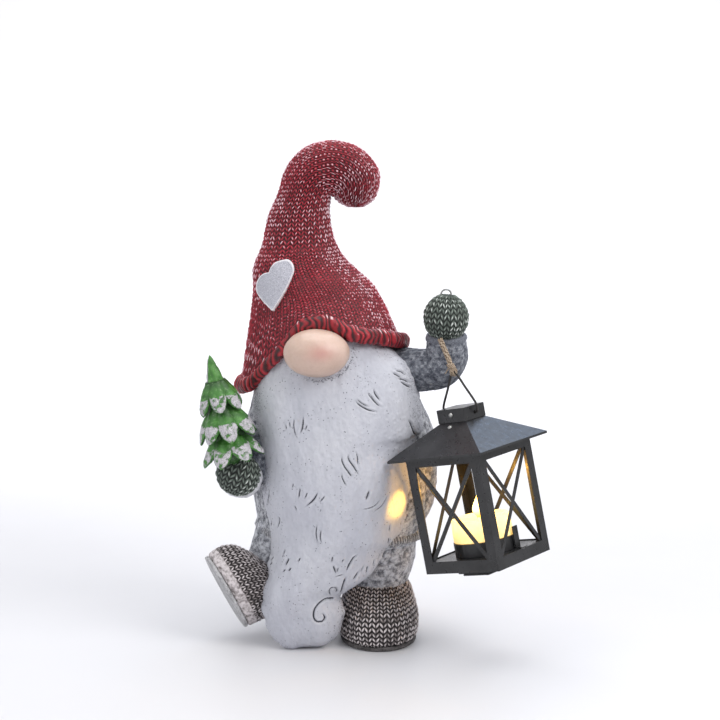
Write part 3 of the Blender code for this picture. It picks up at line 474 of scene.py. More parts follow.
# A darker copy of the pale sole paint: painted shade for the sole that stands on the floor
STANDING_SOLE_SHADE_PAINT = wool_paint("standing_sole_painted_shade", (0.006, 0.006, 0.006), (0.05, 0.045, 0.045), (0.25, 0.23, 0.23), 0.2, 300.0)
CUFF_PAINT = plain("cuff_white_paint", (0.55, 0.55, 0.58), (0.80, 0.80, 0.83), (0.5, 0.7), 260.0, 0.35)
BEARD_PAINT, NOSE_PAINT, HEART_PAINT, TREE_PAINT = beard_paint(), nose_paint(), heart_paint(), tree_paint()
LACQUER = lacquer("black_lacquered_sheet")
WIRE_PAINT = lacquer("bail_black_wire", (0.02, 0.018, 0.017), (0.3, 0.5), 0.15, Metallic=0.3)
STEEL_PAINT = plain("steel_wire", (0.32, 0.32, 0.31), (0.55, 0.55, 0.53), (0.25, 0.5), 500.0, 0.2, Metallic=0.9)
BLACK_PLASTIC = lacquer("black_plastic", (0.011, 0.011, 0.012), (0.32, 0.5), 0.15)
BOARD_PAINT = plain("circuit_board_green", (0.01, 0.10, 0.03), (0.02, 0.19, 0.07))
CELL_PAINT = plain("coin_cell_steel", (0.55, 0.55, 0.54), (0.75, 0.75, 0.73), (0.15, 0.3), 300.0, 0.08, Metallic=1.0)
KNOB_PAINT = plain("switch_pale_plastic", (0.5, 0.5, 0.49), (0.64, 0.64, 0.62))


def wax_paint():
    p = Paint("cream_candle_plastic")
    glow = p.attr("glow")
    tone = p.noise(120.0, 3.0)
    base = p.ramp(tone, [(0.3, (0.84, 0.68, 0.36)), (0.7, (0.92, 0.80, 0.50))])
    warm = p.mix(glow, (0.90, 0.50, 0.12), (1.0, 0.72, 0.22))
    p.feed(p.shader.inputs["Emission Color"], warm)
    p.feed(p.shader.inputs["Emission Strength"], p.math("ADD", p.math("MULTIPLY", glow, 1.35), 0.45))
    normal = p.bump(p.noise(180.0, 4.0), 0.25, 0.0012)
    return p.done(base, p.ramp(p.noise(150.0), [(0.3, 0.35), (0.7, 0.55)]), normal, Subsurface_Weight=0.2,
                  Subsurface_Radius=(0.006, 0.003, 0.001))


def flame_paint():
    p = Paint("flame_silicone")
    height = p.attr("height")
    warm = p.ramp(height, [(0.0, (1.0, 0.36, 0.03)), (0.35, (1.0, 0.72, 0.20)), (0.7, (1.0, 0.80, 0.30)), (1.0, (1.0, 0.42, 0.05))])
    p.feed(p.shader.inputs["Emission Color"], warm)
    p.feed(p.shader.inputs["Emission Strength"], p.ramp(height, [(0.0, 0.9), (0.4, 1.0), (1.0, 0.55)]))
    glow = p.node("ShaderNodeMath", operation="MULTIPLY")
    p.link(p.ramp(height, [(0.0, 0.5), (0.4, 1.0), (1.0, 0.55)]), glow.inputs[0])
    glow.inputs[1].default_value = 6.5
    p.link(glow.outputs[0], p.shader.inputs["Emission Strength"])
    normal = p.bump(p.noise(240.0, 3.0), 0.2, 0.0006)
    return p.done((0.95, 0.6, 0.18), p.ramp(p.noise(300.0), [(0.3, 0.25), (0.7, 0.4)]), normal)


def led_paint():
    p = Paint("led_amber")
    p.feed(p.shader.inputs["Emission Color"], (1.0, 0.55, 0.12))
    p.feed(p.shader.inputs["Emission Strength"], 6.0)
    return p.done(p.ramp(p.noise(300.0), [(0.3, (0.9, 0.5, 0.1)), (0.7, (1.0, 0.6, 0.15))]), 0.2, p.bump(p.noise(500.0), 0.1, 0.0003))


def twine_paint():
    p = Paint("jute_twine")
    fibre = p.attr("relief_and_shade")
    base = p.ramp(p.math("ADD", fibre, p.math("MULTIPLY", p.math("SUBTRACT", p.noise(1200.0, 4.0, 0.7), 0.5), 0.6)),
                  [(0.1, (0.045, 0.03, 0.018)), (0.45, (0.22, 0.155, 0.10)), (0.9, (0.52, 0.42, 0.32))])
    return p.done(base, p.ramp(p.noise(300.0), [(0.3, 0.8), (0.7, 0.95)]), p.bump(p.noise(2200.0, 3.0, 0.7), 0.6, 0.0006))


WAX_PAINT, FLAME_PAINT, LED_PAINT, TWINE_PAINT = wax_paint(), flame_paint(), led_paint(), twine_paint()

# ================================================================ the hat
HAT_ROWS = (
    (-15.0, 1.0, 309.0, 55.5, 56.0, 4.0), (-28.2, 2.0, 337.0, 41.2, 44.0, 5.0), (-29.4, 3.0, 355.0, 32.6, 36.0, 3.0),
    (-29.0, 3.5, 378.0, 27.2, 30.5, 0.0), (-24.8, 4.0, 396.0, 23.8, 27.0, 0.0), (-20.0, 4.0, 409.5, 23.2, 26.0, -30.0),
    (-12.0, 4.0, 418.5, 23.8, 25.5, -60.0), (1.0, 4.0, 421.5, 24.2, 25.0, -90.0), (12.8, 4.0, 418.0, 24.4, 24.0, -120.0),
    (21.0, 4.0, 409.0, 23.2, 22.5, -150.0), (22.4, 4.0, 399.8, 19.8, 20.0, -166.0), (22.3, 4.0, 392.4, 15.0, 15.0, -174.0),
    (21.6, 4.0, 388.2, 7.5, 8.0, -178.0),
)
BRIM = (
    (-180, 224), (-160, 226), (-145, 231), (-137, 239.5), (-130, 247.5), (-123, 256), (-118, 260), (-112, 272), (-106, 282),
    (-100, 286), (-90, 288), (-81, 287.5), (-72, 279), (-60, 275.5), (-45, 273), (-30, 269), (-15, 266), (0, 263), (30, 252),
    (60, 239), (90, 231), (135, 226), (180, 224),
)


def brim_height(angle):
    table = np.array(BRIM, float)
    degrees = (np.degrees(angle) + 180) % 360 - 180
    return sum(np.interp((degrees + d + 180) % 360 - 180, table[:, 0], table[:, 1]) for d in (-4, 0, 4)) / 3


def hat_grid(count, per):
    a = turns(count)
    rows = [np.stack([-9 + 73 * np.cos(a), 73 * np.sin(a), brim_height(a)], -1)]
    for cx, cy, cz, rx, ry, turn in HAT_ROWS:
        c, s = math.cos(math.radians(turn)), math.sin(math.radians(turn))
        rows.append(np.stack([cx + rx * np.cos(a) * c, cy + ry * np.sin(a), cz + rx * np.cos(a) * s], -1))
    flat = np.array(rows).reshape(len(rows), -1)
    return eased(flat, per).reshape(-1, count, 3)


spans = [30, 34, 24, 28, 24, 20, 18, 18, 18, 18, 14, 14, 10]
hat = hat_grid(600, spans)
rows_of_hat = hat.shape[0]
angle = np.broadcast_to(turns(600), hat.shape[:2])
along = arc_along(hat)
mark = sum(spans[:3])
share = smooth(np.arange(rows_of_hat), 0, mark)[:, None]
along = along + (along[mark].mean() - along[mark][None, :]) * share
wobble = 0.16 * noise(hat, 16.0, 3)
lift = 0.22 * noise(hat, 21.0, 9)
row_no = along / 3.9 + lift
index = np.arange(rows_of_hat)[:, None] * np.ones((1, 600))
zone_a = smooth(index, spans[0] + 14, spans[0] + 26)
zone_b = smooth(index, sum(spans[:2]) + 14, sum(spans[:2]) + 26)
layers = []
for wales in (58, 42, 32):
    layers.append(stitches(angle * wales / (2 * np.pi) + wobble, row_no))
weights = (1 - zone_a, zone_a * (1 - zone_b), zone_b)
height = sum(w * h for w, (h, r) in zip(weights, layers))
random_leg = sum(w * r for w, (h, r) in zip(weights, layers))
height = height * (0.72 + 0.42 * random_leg)
hat_n = normals_of(hat)
knit_amp = 1.9
hat_out = hat + hat_n * (knit_amp * (height - 0.55) + 0.35 * noise(hat, 9.0, 4) + 0.18 * noise(hat, 1.7, 8))[..., None]
flank = np.abs(np.cos(angle)) ** 2.2
tip_zone = smooth(index, sum(spans[:7]), sum(spans[:10]))
hat_frost = (0.30 + 0.30 * flank + 0.14 * (np.cos(angle) > 0) * flank + 0.10 * tip_zone
             + 0.34 * fbm(hat, 26.0, 3, 30) + 0.22 * (random_leg - 0.5) + 0.2 * smooth(hat[..., 2], 300, 390) * 0.6)
skin("hat_knit", hat_out, HAT_PAINT, "gnome", {"relief_and_shade": np.clip(height, 0, 1), "frost": np.clip(hat_frost, 0, 1)},
     ((-9, 0, 262), (21.4, 4, 386.8)), ("hat",))

# The rolled brim: thick slanting cords with a knit groove between
count = 1100
a = turns(count)
around = turns(34)
centre = np.stack([-9 + 73.2 * np.cos(a), 73.2 * np.sin(a), brim_height(a) + 5.5], -1)
out = np.stack([np.cos(a), np.sin(a), 0 * a], -1)
rib = (centre[:, None, :] + out[:, None, :] * (5.2 * np.cos(around))[None, :, None]
       + np.array([0, 0, 1.0]) * (7.0 * np.sin(around))[None, :, None])
A = a[:, None] * np.ones((1, 34))
B = np.broadcast_to(np.where(around > np.pi, around - 2 * np.pi, around), A.shape)
cords = A * 88 / (2 * np.pi) + 0.22 * np.sin(B * 0.9) + 0.6 * noise(rib, 6.0, 2)
f = cords - np.floor(cords)
rnd = hashed(np.floor(cords), np.zeros_like(cords), np.zeros_like(cords), 12)
cord_h = (0.5 + 0.5 * np.cos(2 * np.pi * (f - 0.5))) ** 0.7 * (0.6 + 0.5 * rnd)
cord_h = cord_h * (0.86 + 0.2 * noise(rib, 4.0, 19))
rib_n = normals_of(rib)
rib_out = rib + rib_n * (1.05 * (cord_h - 0.6) + 0.35 * noise(rib, 3.0, 6))[..., None]
clumps = smooth(noise(np.stack([A * 73 + 5 * B, B * 3, 0 * A], -1), (6.5, 9.0, 9.0), 15), -0.25, 0.35)
rib_frost = (0.12 + (0.35 + 0.75 * clumps) * smooth(B, 0.25, 0.95) * (0.55 + 0.45 * np.cos(A + 0.9)) + 0.22 * fbm(rib, 9.0, 3, 5)
             + 0.12 * np.maximum(0, np.cos(A + 0.5)) ** 2)
verts = rib_out.reshape(-1, 3)
faces = []
i = np.arange(count)[:, None]
j = np.arange(34)[None, :]
quad = np.stack([i * 34 + j, i * 34 + (j + 1) % 34, ((i + 1) % count) * 34 + (j + 1) % 34, ((i + 1) % count) * 34 + j], -1).reshape(-1, 4)
p0, p1, p2 = verts[quad[0, 0]], verts[quad[0, 1]], verts[quad[0, 2]]
if np.dot(np.cross(p1 - p0, p2 - p0), rib_n.reshape(-1, 3)[quad[0, 0]]) < 0:
    quad = quad[:, ::-1]
build("hat_brim", verts, quad.tolist(), RIB_PAINT, "gnome",
      {"relief_and_shade": np.clip(cord_h, 0, 1), "frost": np.clip(rib_frost, 0, 1)}, ("hat_rib",))

# The heart, laid on the hat's front
plain_hat = hat_grid(120, 6)
hat_verts = [Vector(v) for v in plain_hat.reshape(-1, 3)]
hat_tree = BVHTree.FromPolygons(hat_verts, grid_faces(plain_hat.shape[0], 120))


def on_hat(x, z):
    hit = hat_tree.ray_cast(Vector((x, -200, z)), Vector((0, 1, 0)))
    return np.array(hit[0]), np.array(hit[1]) * (1 if hit[1].y < 0 else -1)


HEART_LINE = (
    (-52.4, 332.4), (-55.3, 331.8), (-58.1, 330.4), (-60.9, 327.5), (-63.0, 322.8), (-63.6, 318.2), (-62.8, 314.0), (-60.0, 310.0),
    (-55.9, 305.8), (-51.9, 302.2), (-49.1, 300.1), (-47.3, 302.7), (-43.9, 308.0), (-40.5, 314.0), (-37.0, 320.7), (-34.1, 327.3),
    (-31.9, 333.1), (-31.6, 336.7), (-32.7, 340.3), (-35.1, 342.8), (-37.7, 343.6), (-40.7, 343.1), (-44.2, 342.2), (-47.6, 340.5),
    (-50.3, 337.4), (-51.7, 334.4), (-52.4, 332.4),
)
outline = eased(HEART_LINE, 6)[:-1]
HEART_MID = np.array([-47.5, 321.0])
levels = [0.06, 0.2, 0.36, 0.5, 0.62, 0.72, 0.8, 0.86, 0.91, 0.95, 0.985, 1.0, 1.0, 0.985]
puff = [3.3, 3.3, 3.25, 3.2, 3.1, 3.0, 2.9, 2.8, 2.9, 3.05, 2.9, 2.3, 1.2, -0.6]
heart_rows, rim_values = [], []
for scale, off in zip(levels, puff):
    ring = []
    for x, z in HEART_MID + (outline - HEART_MID) * scale:
        at, n = on_hat(x, z)
        ring.append(at + n * off)
    heart_rows.append(ring)
    rim_values.append([1.0 if scale > 0.93 else 0.0] * len(outline))
heart = np.array(heart_rows)
heart = heart + np.array([0, -1.0, 0]) * (0.35 * noise(heart, 2.1, 2) + 0.2 * noise(heart, 1.0, 4))[..., None]
at, n = on_hat(*HEART_MID)
skin("heart_applique", heart, HEART_PAINT, "gnome", {"rim": np.array(rim_values)},
     (at + n * 3.3, at - n * 0.6), ("heart_patch",))

# ================================================================ the nose
lat = np.linspace(-np.pi / 2 + 0.02, np.pi / 2 - 0.02, 90)
lon = turns(140)
ball = np.stack([np.cos(lat)[:, None] * np.cos(lon), np.cos(lat)[:, None] * np.sin(lon), np.sin(lat)[:, None] * np.ones(140)], -1)
NOSE = np.array([-12.0, -76.0, 267.9])
nose = NOSE + ball * np.array([28.0, 22.5, 20.6])
nose = nose + ball * (0.5 * noise(nose, 17.0, 3) + 0.12 * noise(nose, 4.0, 5))[..., None]
blush = np.exp(-(((nose[..., 0] + 7.5) / 11.0) ** 2 + ((nose[..., 2] - 270.5) / 7.0) ** 2)) * (nose[..., 1] < -76)
# Painted shade: darker towards the underside and the right end of the nose
nose_underside_shade = smooth(-(ball[..., 2]), 0.72, 0.98) * 0.6 + smooth(ball[..., 0], 0.8, 1.0) * 0.3
skin("nose_ball", nose, NOSE_PAINT, "gnome", {"blush": blush, "nose_underside_shade": nose_underside_shade}, (None, None), ("nose",))

# ================================================================ the beard
BEARD_ROWS = (
    (276, -46, 34, -32, -65, -14), (267, -56, 48, -30, -69.5, -12), (250, -65, 69, -26, -76, -10),
    (228, -68.5, 76, -24, -83, -10), (205, -68, 80, -22, -87, -10), (194, -67, 81, -21, -88, -10),
    (186, -66, 76, -20, -88.5, -10), (165, -64, 74, -20, -89, -10), (140, -62, 70.5, -25, -88.5, -10),
    (118, -57, 67, -29, -87, -10), (103, -54, 61, -31, -86, -12), (91, -54, 50, -34, -84, -28),
    (78, -55.5, 42, -38, -82, -34), (66, -57.5, 33, -42, -80, -38), (56, -60, 16, -46, -78, -40),
    (50, -61, 8, -48, -77, -40), (42, -62, 9.5, -50, -76, -40), (33, -60.5, 11.5, -52, -75, -40),
    (22, -57, 9, -53, -74, -40), (14, -53, 5, -54, -72, -41), (8, -46, -3, -56, -69, -44), (4.2, -38, -12, -57, -64, -50),
)
steps = [max(4, int(round(abs(b[0] - a_[0]) / 0.66))) for a_, b in zip(BEARD_ROWS, BEARD_ROWS[1:])]
rows = eased(BEARD_ROWS, steps)
back, front = np.linspace(0, np.pi, 110, endpoint=False), np.linspace(np.pi, 2 * np.pi, 310, endpoint=False)
t = np.concatenate([back, front])
c, s = np.cos(t), np.sin(t)
z, left, right, edge_y, front_y, back_y = (rows[:, k][:, None] for k in range(6))
mid, half = (left + right) / 2, (right - left) / 2
X = mid + half * power(c, 0.96)[None, :]
Y = np.where(s < 0, edge_y + (front_y - edge_y) * np.abs(s) ** 0.95, edge_y + (back_y - edge_y) * np.abs(s) ** 0.8)
beard = np.stack([X, Y, z * np.ones_like(X)], -1)
beard_n = normals_of(beard)
is_front = smooth(-beard_n[..., 1], 0.0, 0.35)

# Carved strokes: a half width, then (x, z) points along the line on the front
STROKES = (
    (0.66, ((21.0, 228.0), (25.1, 223.9), (31.5, 220.1), (39.7, 217.4))),
    (0.40, ((22.4, 229.1), (26.8, 225.5), (32.6, 222.1))),
    (0.59, ((31.5, 234.3), (35.0, 229.1), (39.7, 224.2), (43.2, 221.1))),
    (0.59, ((36.7, 236.8), (38.5, 232.2), (42.6, 226.3))),
    (0.40, ((34.0, 232.7), (37.1, 227.3), (40.8, 223.2))),
    (0.40, ((-38.9, 206.6), (-37.7, 201.4))),
    (0.40, ((-35.8, 208.7), (-34.7, 203.5))),
    (0.40, ((-31.7, 212.6), (-32.0, 205.6), (-30.3, 198.0), (-28.1, 194.7))),
    (0.66, ((-23.6, 214.3), (-24.3, 206.1), (-26.4, 198.4))),
    (0.40, ((-20.4, 206.9), (-22.2, 202.8))),
    (0.66, ((9.3, 181.9), (9.9, 176.6), (12.8, 170.6), (18.6, 164.0))),
    (0.66, ((14.6, 183.0), (15.7, 177.7), (19.8, 171.6), (23.9, 164.3))),
    (0.40, ((21.6, 184.6), (22.7, 179.8), (23.3, 170.9))),
    (0.59, ((53.4, 248.8), (58.8, 245.3), (61.2, 243.2))),
    (0.59, ((57.8, 243.8), (63.6, 241.4), (67.9, 237.8))),
    (0.40, ((55.8, 250.7), (61.2, 248.2), (64.9, 244.7))),
    (0.66, ((59.9, 241.0), (65.4, 236.6), (69.7, 233.5))),
    (0.86, ((66.5, 207.7), (70.2, 201.6), (76.4, 186.5))),
    (0.53, ((-59.0, 149.7), (-56.9, 144.6))),
    (0.53, ((-54.3, 145.8), (-55.7, 137.7))),
    (0.40, ((-32.3, 155.6), (-32.9, 151.6))),
    (0.53, ((-26.0, 152.4), (-27.1, 143.1))),
    (0.46, ((-19.7, 149.0), (-21.9, 143.6))),
    (0.73, ((-10.9, 149.5), (-14.8, 142.8), (-21.5, 136.3))),
    (0.59, ((-5.1, 146.5), (-7.1, 143.8), (-9.3, 141.2))),
    (0.40, ((-30.7, 136.7), (-28.5, 132.5))),
    (0.79, ((32.6, 150.7), (31.3, 146.2), (29.8, 141.7))),
    (0.40, ((42.9, 142.2), (37.7, 136.5), (26.4, 133.6))),
    (0.33, ((49.4, 145.1), (43.6, 135.4), (35.2, 130.5))),
    (0.46, ((9.0, 166.8), (10.2, 161.6), (13.4, 155.0))),
    (0.53, ((14.1, 168.0), (17.9, 163.4))),
    (0.46, ((-59.1, 149.9), (-60.0, 143.7))),
    (0.59, ((-54.0, 145.6), (-56.4, 134.6), (-57.0, 127.3))),
    (0.53, ((-53.8, 121.3), (-53.3, 114.1), (-53.2, 106.4))),
    (0.66, ((-47.3, 124.3), (-45.3, 120.0), (-47.6, 110.8))),
    (0.40, ((-12.1, 120.3), (-13.0, 112.2), (-11.4, 104.3))),
    (0.40, ((-8.5, 116.4), (-9.2, 109.7), (-7.9, 104.5))),
    (0.53, ((-40.1, 95.0), (-42.8, 86.6))),
    (0.66, ((-36.8, 88.0), (-40.1, 80.8))),
    (0.59, ((-34.8, 79.9), (-37.2, 76.6))),
    (0.53, ((-39.8, 78.0), (-42.1, 75.0))),
    (0.53, ((-26.8, 89.8), (-28.4, 86.2))),
    (0.66, ((-52.1, 86.5), (-54.4, 75.5))),
    (0.53, ((1.5, 93.0), (0.7, 87.5))),
    (0.73, ((1.9, 84.0), (3.2, 80.0), (4.5, 75.7))),
    (0.40, ((6.4, 81.7), (5.2, 76.8))),
    (0.53, ((11.1, 89.4), (9.4, 86.2))),
    (0.73, ((22.9, 92.6), (18.2, 87.8), (13.0, 76.9))),
    (0.79, ((24.2, 76.5), (21.6, 72.0), (19.0, 67.6))),
    (0.46, ((28.1, 81.0), (25.5, 73.8))),
    (0.66, ((31.7, 80.0), (30.9, 75.3), (29.9, 71.4))),
    (0.66, ((37.9, 84.8), (36.4, 76.9))),
    (0.79, ((13.2, 72.4), (10.3, 62.7), (7.2, 53.0))),
    (0.46, ((10.6, 74.9), (7.4, 74.0), (3.9, 73.1))),
    (0.59, ((51.1, 117.7), (50.4, 109.9))),
    (0.73, ((50.5, 104.4), (49.8, 96.7))),
    (0.53, ((61.8, 117.3), (60.1, 108.3))),
    (0.33, ((67.2, 89.6), (64.5, 84.5))),
    (0.40, ((43.2, 88.0), (41.3, 81.8))),
    (0.83, ((2.0, 50.1), (-3.8, 50.6), (-10.3, 47.6), (-14.5, 42.1), (-15.2, 35.7), (-12.3, 31.8), (-8.0, 31.5), (-5.4, 34.5), (-7.1, 38.2), (-9.3, 37.6))),
    (0.59, ((-0.5, 54.7), (-1.3, 59.2), (0.5, 62.5), (3.6, 62.5), (5.1, 59.1), (3.4, 55.8))),
    (0.26, ((9.7, 40.6), (12.1, 33.5), (11.4, 22.8))),
)
cut = np.zeros(beard.shape[:2])
lip_and_highlight = np.zeros(beard.shape[:2])


def carve(points, width, depth_taper=True, lip_size=1.0):
    """Adds one carved line to cut, and the raised ridge beside it to the ridge array, which also paints that ridge
    lighter as a painted highlight.
    """
    pts = eased(np.array(points, float), 8)
    low, high = pts.min(0) - 6, pts.max(0) + 6
    near = np.nonzero((X > low[0]) & (X < high[0]) & (beard[..., 2] > low[1]) & (beard[..., 2] < high[1]) & (beard_n[..., 1] < 0.15))
    if not len(near[0]):
        return
    q = np.stack([X[near], beard[..., 2][near]], -1)
    best = np.full(len(q), 1e9)
    where = np.zeros(len(q))
    lengths = np.linalg.norm(np.diff(pts, axis=0), axis=1)
    start = np.concatenate([[0], np.cumsum(lengths)])
    for k in range(len(pts) - 1):
        a_, b_ = pts[k], pts[k + 1]
        d = b_ - a_
        u = np.clip(((q - a_) @ d) / max(d @ d, 1e-9), 0, 1)
        dist = np.linalg.norm(q - (a_ + u[:, None] * d), axis=1)
        closer = dist < best
        best[closer] = dist[closer]
        where[closer] = (start[k] + u[closer] * lengths[k]) / start[-1]
    taper = np.clip(np.minimum(where / 0.22, (1 - where) / 0.3), 0.0, 1.0) ** 0.6 if depth_taper else np.clip((1 - where) / 0.12, 0, 1)
    wide = width * (0.35 + 0.65 * taper)
    value = np.exp(-(best / wide) ** 2) * (0.25 + 0.75 * taper)
    cut[near] = np.maximum(cut[near], value)
    ridge = np.exp(-((best - 2.3 * width) / (1.1 * width)) ** 2) * taper * lip_size
    lip_and_highlight[near] = np.maximum(lip_and_highlight[near], ridge)


for wide_, line in STROKES:
    carve(line, max(0.5, 1.05 * wide_), len(line) < 6, 0.8)

flow = beard.copy()
flow[..., 0] = beard[..., 0] + 6 * np.sin(beard[..., 2] / 31.0)
swell = 1.5 * noise(flow, (19.0, 30.0, 52.0), 2) + 0.8 * noise(flow, (9.0, 16.0, 27.0), 7)
hair = 0.28 * noise(flow, (2.6, 6.0, 11.0), 9) + 0.16 * noise(flow, (1.2, 3.0, 3.6), 14)
rough = 0.22 * noise(beard, 2.0, 21)
rim_band = smooth(np.abs(c), 0.86, 0.99)[None, :] * np.ones_like(X) * (s < 0.35)
tufts = rim_band * (1.1 * noise(beard, (30.0, 30.0, 5.0), 31) + 0.6 * noise(beard, (30.0, 30.0, 2.4), 33))
offset = (swell + hair + rough) * is_front - 1.75 * cut + 0.55 * lip_and_highlight + tufts
beard_out = beard + beard_n * offset[..., None]
beard_out[..., 2] = np.maximum(beard_out[..., 2], GROUND + 0.05)
# Painted shade: more dark specks under the nose, where its shadow falls, and along both sides of the beard; the fbm
# part is random speckle
under_nose = np.exp(-((np.hypot((X - NOSE[0]) / 28.0, (beard[..., 2] - NOSE[2]) / 20.6) - 1.13) / 0.12) ** 2) * (beard[..., 2] < 272)
left_edge = smooth(-c, 0.8, 0.97)[None, :] * smooth(beard[..., 2], 90, 170)
right_edge = smooth(c, 0.75, 0.97)[None, :] * np.ones_like(X)
specks_and_shade = np.clip(0.8 * under_nose + 0.75 * left_edge + 0.55 * right_edge + 0.5 * fbm(beard, 30.0, 2, 44) + 0.05, 0, 1)
shade = np.clip(0.35 - swell * 0.22 + 0.3 * right_edge, 0, 1) * 0.6
skin("beard_carved", beard_out, BEARD_PAINT, "gnome", {"cut": cut, "lip_and_highlight": lip_and_highlight, "shade": shade, "specks_and_shade": specks_and_shade},
     ((1, -36, 277), None), ("beard",))

# ================================================================ the coat
COAT_ROWS = (
    (88, 7, 4, 69.5, 57), (91, 7, 4, 73, 61), (101, 7.5, 4, 74.5, 65), (123, 10.5, 4, 80.5, 70), (150, 9, 4, 85, 72.5),
    (178, 6.5, 4, 86.5, 71.5), (196, 6, 3, 82, 68), (218, 3.5, 2, 74, 63), (240, 0, 2, 64, 57), (262, -5, 2, 53, 49),
    (285, -9, 2, 40, 38), (298, -11, 2, 22, 21),
)
rows = eased(COAT_ROWS, [6, 12, 22, 26, 26, 20, 22, 22, 22, 14, 8])
a = turns(420)
coat = np.stack([rows[:, 1:2] + rows[:, 3:4] * np.cos(a), rows[:, 2:3] + rows[:, 4:5] * np.sin(a), rows[:, 0:1] * np.ones(420)], -1)
coat_n = normals_of(coat)
loops = 0.5 + 0.5 * fbm(coat, (2.9, 2.9, 3.4), 2, 6, 0.6)
folds = 1.1 * noise(coat, (24.0, 24.0, 60.0), 11)
coat_out = coat + coat_n * (1.9 * (loops - 0.5) + folds)[..., None]
skin("coat_wool", coat_out, COAT_PAINT, "gnome", {"relief_and_shade": np.clip(loops * 1.5 - 0.25, 0, 1)}, ((7, 4, 88), (-11, 2, 300)), ("torso_coat",))

# The coat's fringed hem
a = turns(760)
around = turns(18)
centre = np.stack([7.3 + 74.2 * np.cos(a), 4 + 63.3 * np.sin(a), 98.5 - 2.5 * np.cos(a) + 0.8 * np.sin(3 * a)], -1)
out = np.stack([np.cos(a), np.sin(a), 0 * a], -1)
hem = (centre[:, None, :] + out[:, None, :] * (2.6 * np.cos(around))[None, :, None] + np.array([0, 0, 1.0]) * (4.2 * np.sin(around))[None, :, None])
hem_n = normals_of(hem)
A = a[:, None] * np.ones((1, 18))
strand = A * 150 / (2 * np.pi) + 0.3 * noise(hem, 7.0, 3)
f = strand - np.floor(strand)
hem_h = (0.5 + 0.5 * np.cos(2 * np.pi * (f - 0.5))) * (0.6 + 0.4 * hashed(np.floor(strand), 0 * strand, 0 * strand, 8))
hem_out = hem + hem_n * (1.5 * (hem_h - 0.5) + 0.7 * noise(hem, 2.2, 5))[..., None]
quad = np.stack([np.arange(760)[:, None] * 18 + np.arange(18), np.arange(760)[:, None] * 18 + (np.arange(18) + 1) % 18,
                 ((np.arange(760)[:, None] + 1) % 760) * 18 + (np.arange(18) + 1) % 18, ((np.arange(760)[:, None] + 1) % 760) * 18 + np.arange(18)], -1).reshape(-1, 4)
verts = hem_out.reshape(-1, 3)
p0, p1, p2 = verts[quad[0, 0]], verts[quad[0, 1]], verts[quad[0, 2]]
if np.dot(np.cross(p1 - p0, p2 - p0), hem_n.reshape(-1, 3)[quad[0, 0]]) < 0:
    quad = quad[:, ::-1]
HEM_PAINT = wool_paint("hem_pale_paint", (0.03, 0.03, 0.035), (0.26, 0.26, 0.28), (0.78, 0.78, 0.80), 0.75)
build("coat_hem", verts, quad.tolist(), HEM_PAINT, "gnome", {"relief_and_shade": np.clip(hem_h, 0, 1)})


def woolly(name, grid, paint, stands_for, amp=1.2, cell=2.8, seed=3, caps=(None, None), fold=0.6):
    n = normals_of(grid)
    loops = 0.5 + 0.5 * fbm(grid, cell, 2, seed, 0.6)
    moved = grid + n * (amp * (loops - 0.5) + fold * noise(grid, 14.0, seed + 5))[..., None]
    return skin(name, moved, paint, "gnome", {"relief_and_shade": np.clip(loops * 1.5 - 0.25, 0, 1)}, caps, stands_for)


sleeve = tube_grid(((38, -6, 240, 22), (60, -15, 244, 20.5), (80, -24, 245.5, 19), (95, -29.5, 249.5, 18.6), (101, -32, 259, 18.3),
                    (100.5, -34, 268, 17.6), (100.2, -35, 277.5, 16.9)), 26, 200)
woolly("sleeve_raised", sleeve, SLEEVE_PAINT, ("raised_sleeve",), 0.9, 2.4, 12)
low = tube_grid(((-50, -12, 186, 24), (-64, -24, 174, 23), (-74, -38, 165, 22), (-78.5, -46, 160.8, 21.3)), 22, 180)
woolly("sleeve_low", low, SLEEVE_PAINT, ("tree_sleeve",), 1.0, 2.6, 15)
leg = tube_grid(((41, -10, 40, 24), (41.5, -8, 56, 27.5), (43, -4, 76, 32), (42, 0, 99, 33)), 24, 220)
woolly("trouser_leg_standing", leg, TROUSER_PAINT, ("standing_leg",), 1.3, 3.0, 18, fold=1.3)
kick = tube_grid(((-74, -23, 51, 15), (-59, -16, 71, 18.5), (-45, -8, 98, 24)), 28, 180)
woolly("trouser_leg_raised", kick, TROUSER_PAINT, ("raised_leg",), 1.3, 3.0, 22, fold=1.0)


def knit_ball(name, centre, halves, pole, wales, row_height, paint, stands_for, amp, seed):
    """A ball of stitches whose columns run from pole to pole."""
    rows_, cols_ = 190, wales * 13
    lat = np.linspace(-np.pi / 2 + 0.03, np.pi / 2 - 0.03, rows_)
    lon = turns(cols_)
    up = np.array(pole, float)
    up /= np.linalg.norm(up)
    side = np.cross(up, [0, 1, 0.1])
    side /= np.linalg.norm(side)
    other = np.cross(up, side)
    unit = (np.cos(lat)[:, None, None] * (np.cos(lon)[None, :, None] * side + np.sin(lon)[None, :, None] * other)
            + np.sin(lat)[:, None, None] * up)
    grid = np.array(centre) + unit * np.array(halves)
    n = normals_of(grid)
    wob = 0.14 * noise(grid, 8.0, seed)
    b = arc_along(grid) / row_height + 0.25 * noise(grid, 10.0, seed + 1)
    h, rnd_ = stitches(lon[None, :] * wales / (2 * np.pi) + wob, b, 0.85, 0.55)
    h = h * (0.75 + 0.35 * rnd_)
    fade = smooth(np.cos(lat), 0.12, 0.4)[:, None]
    h = h * fade + 0.4 * (1 - fade)
    moved = grid + n * (amp * (h - 0.55) + 0.15 * noise(grid, 1.5, seed + 2))[..., None]
    frost = 0.30 + 0.35 * (rnd_ - 0.5) + 0.35 * fbm(grid, 12.0, 2, seed + 3)
    return skin(name, moved, paint, "gnome", {"relief_and_shade": np.clip(h, 0, 1), "frost": np.clip(frost, 0, 1)}, (None, None), stands_for)


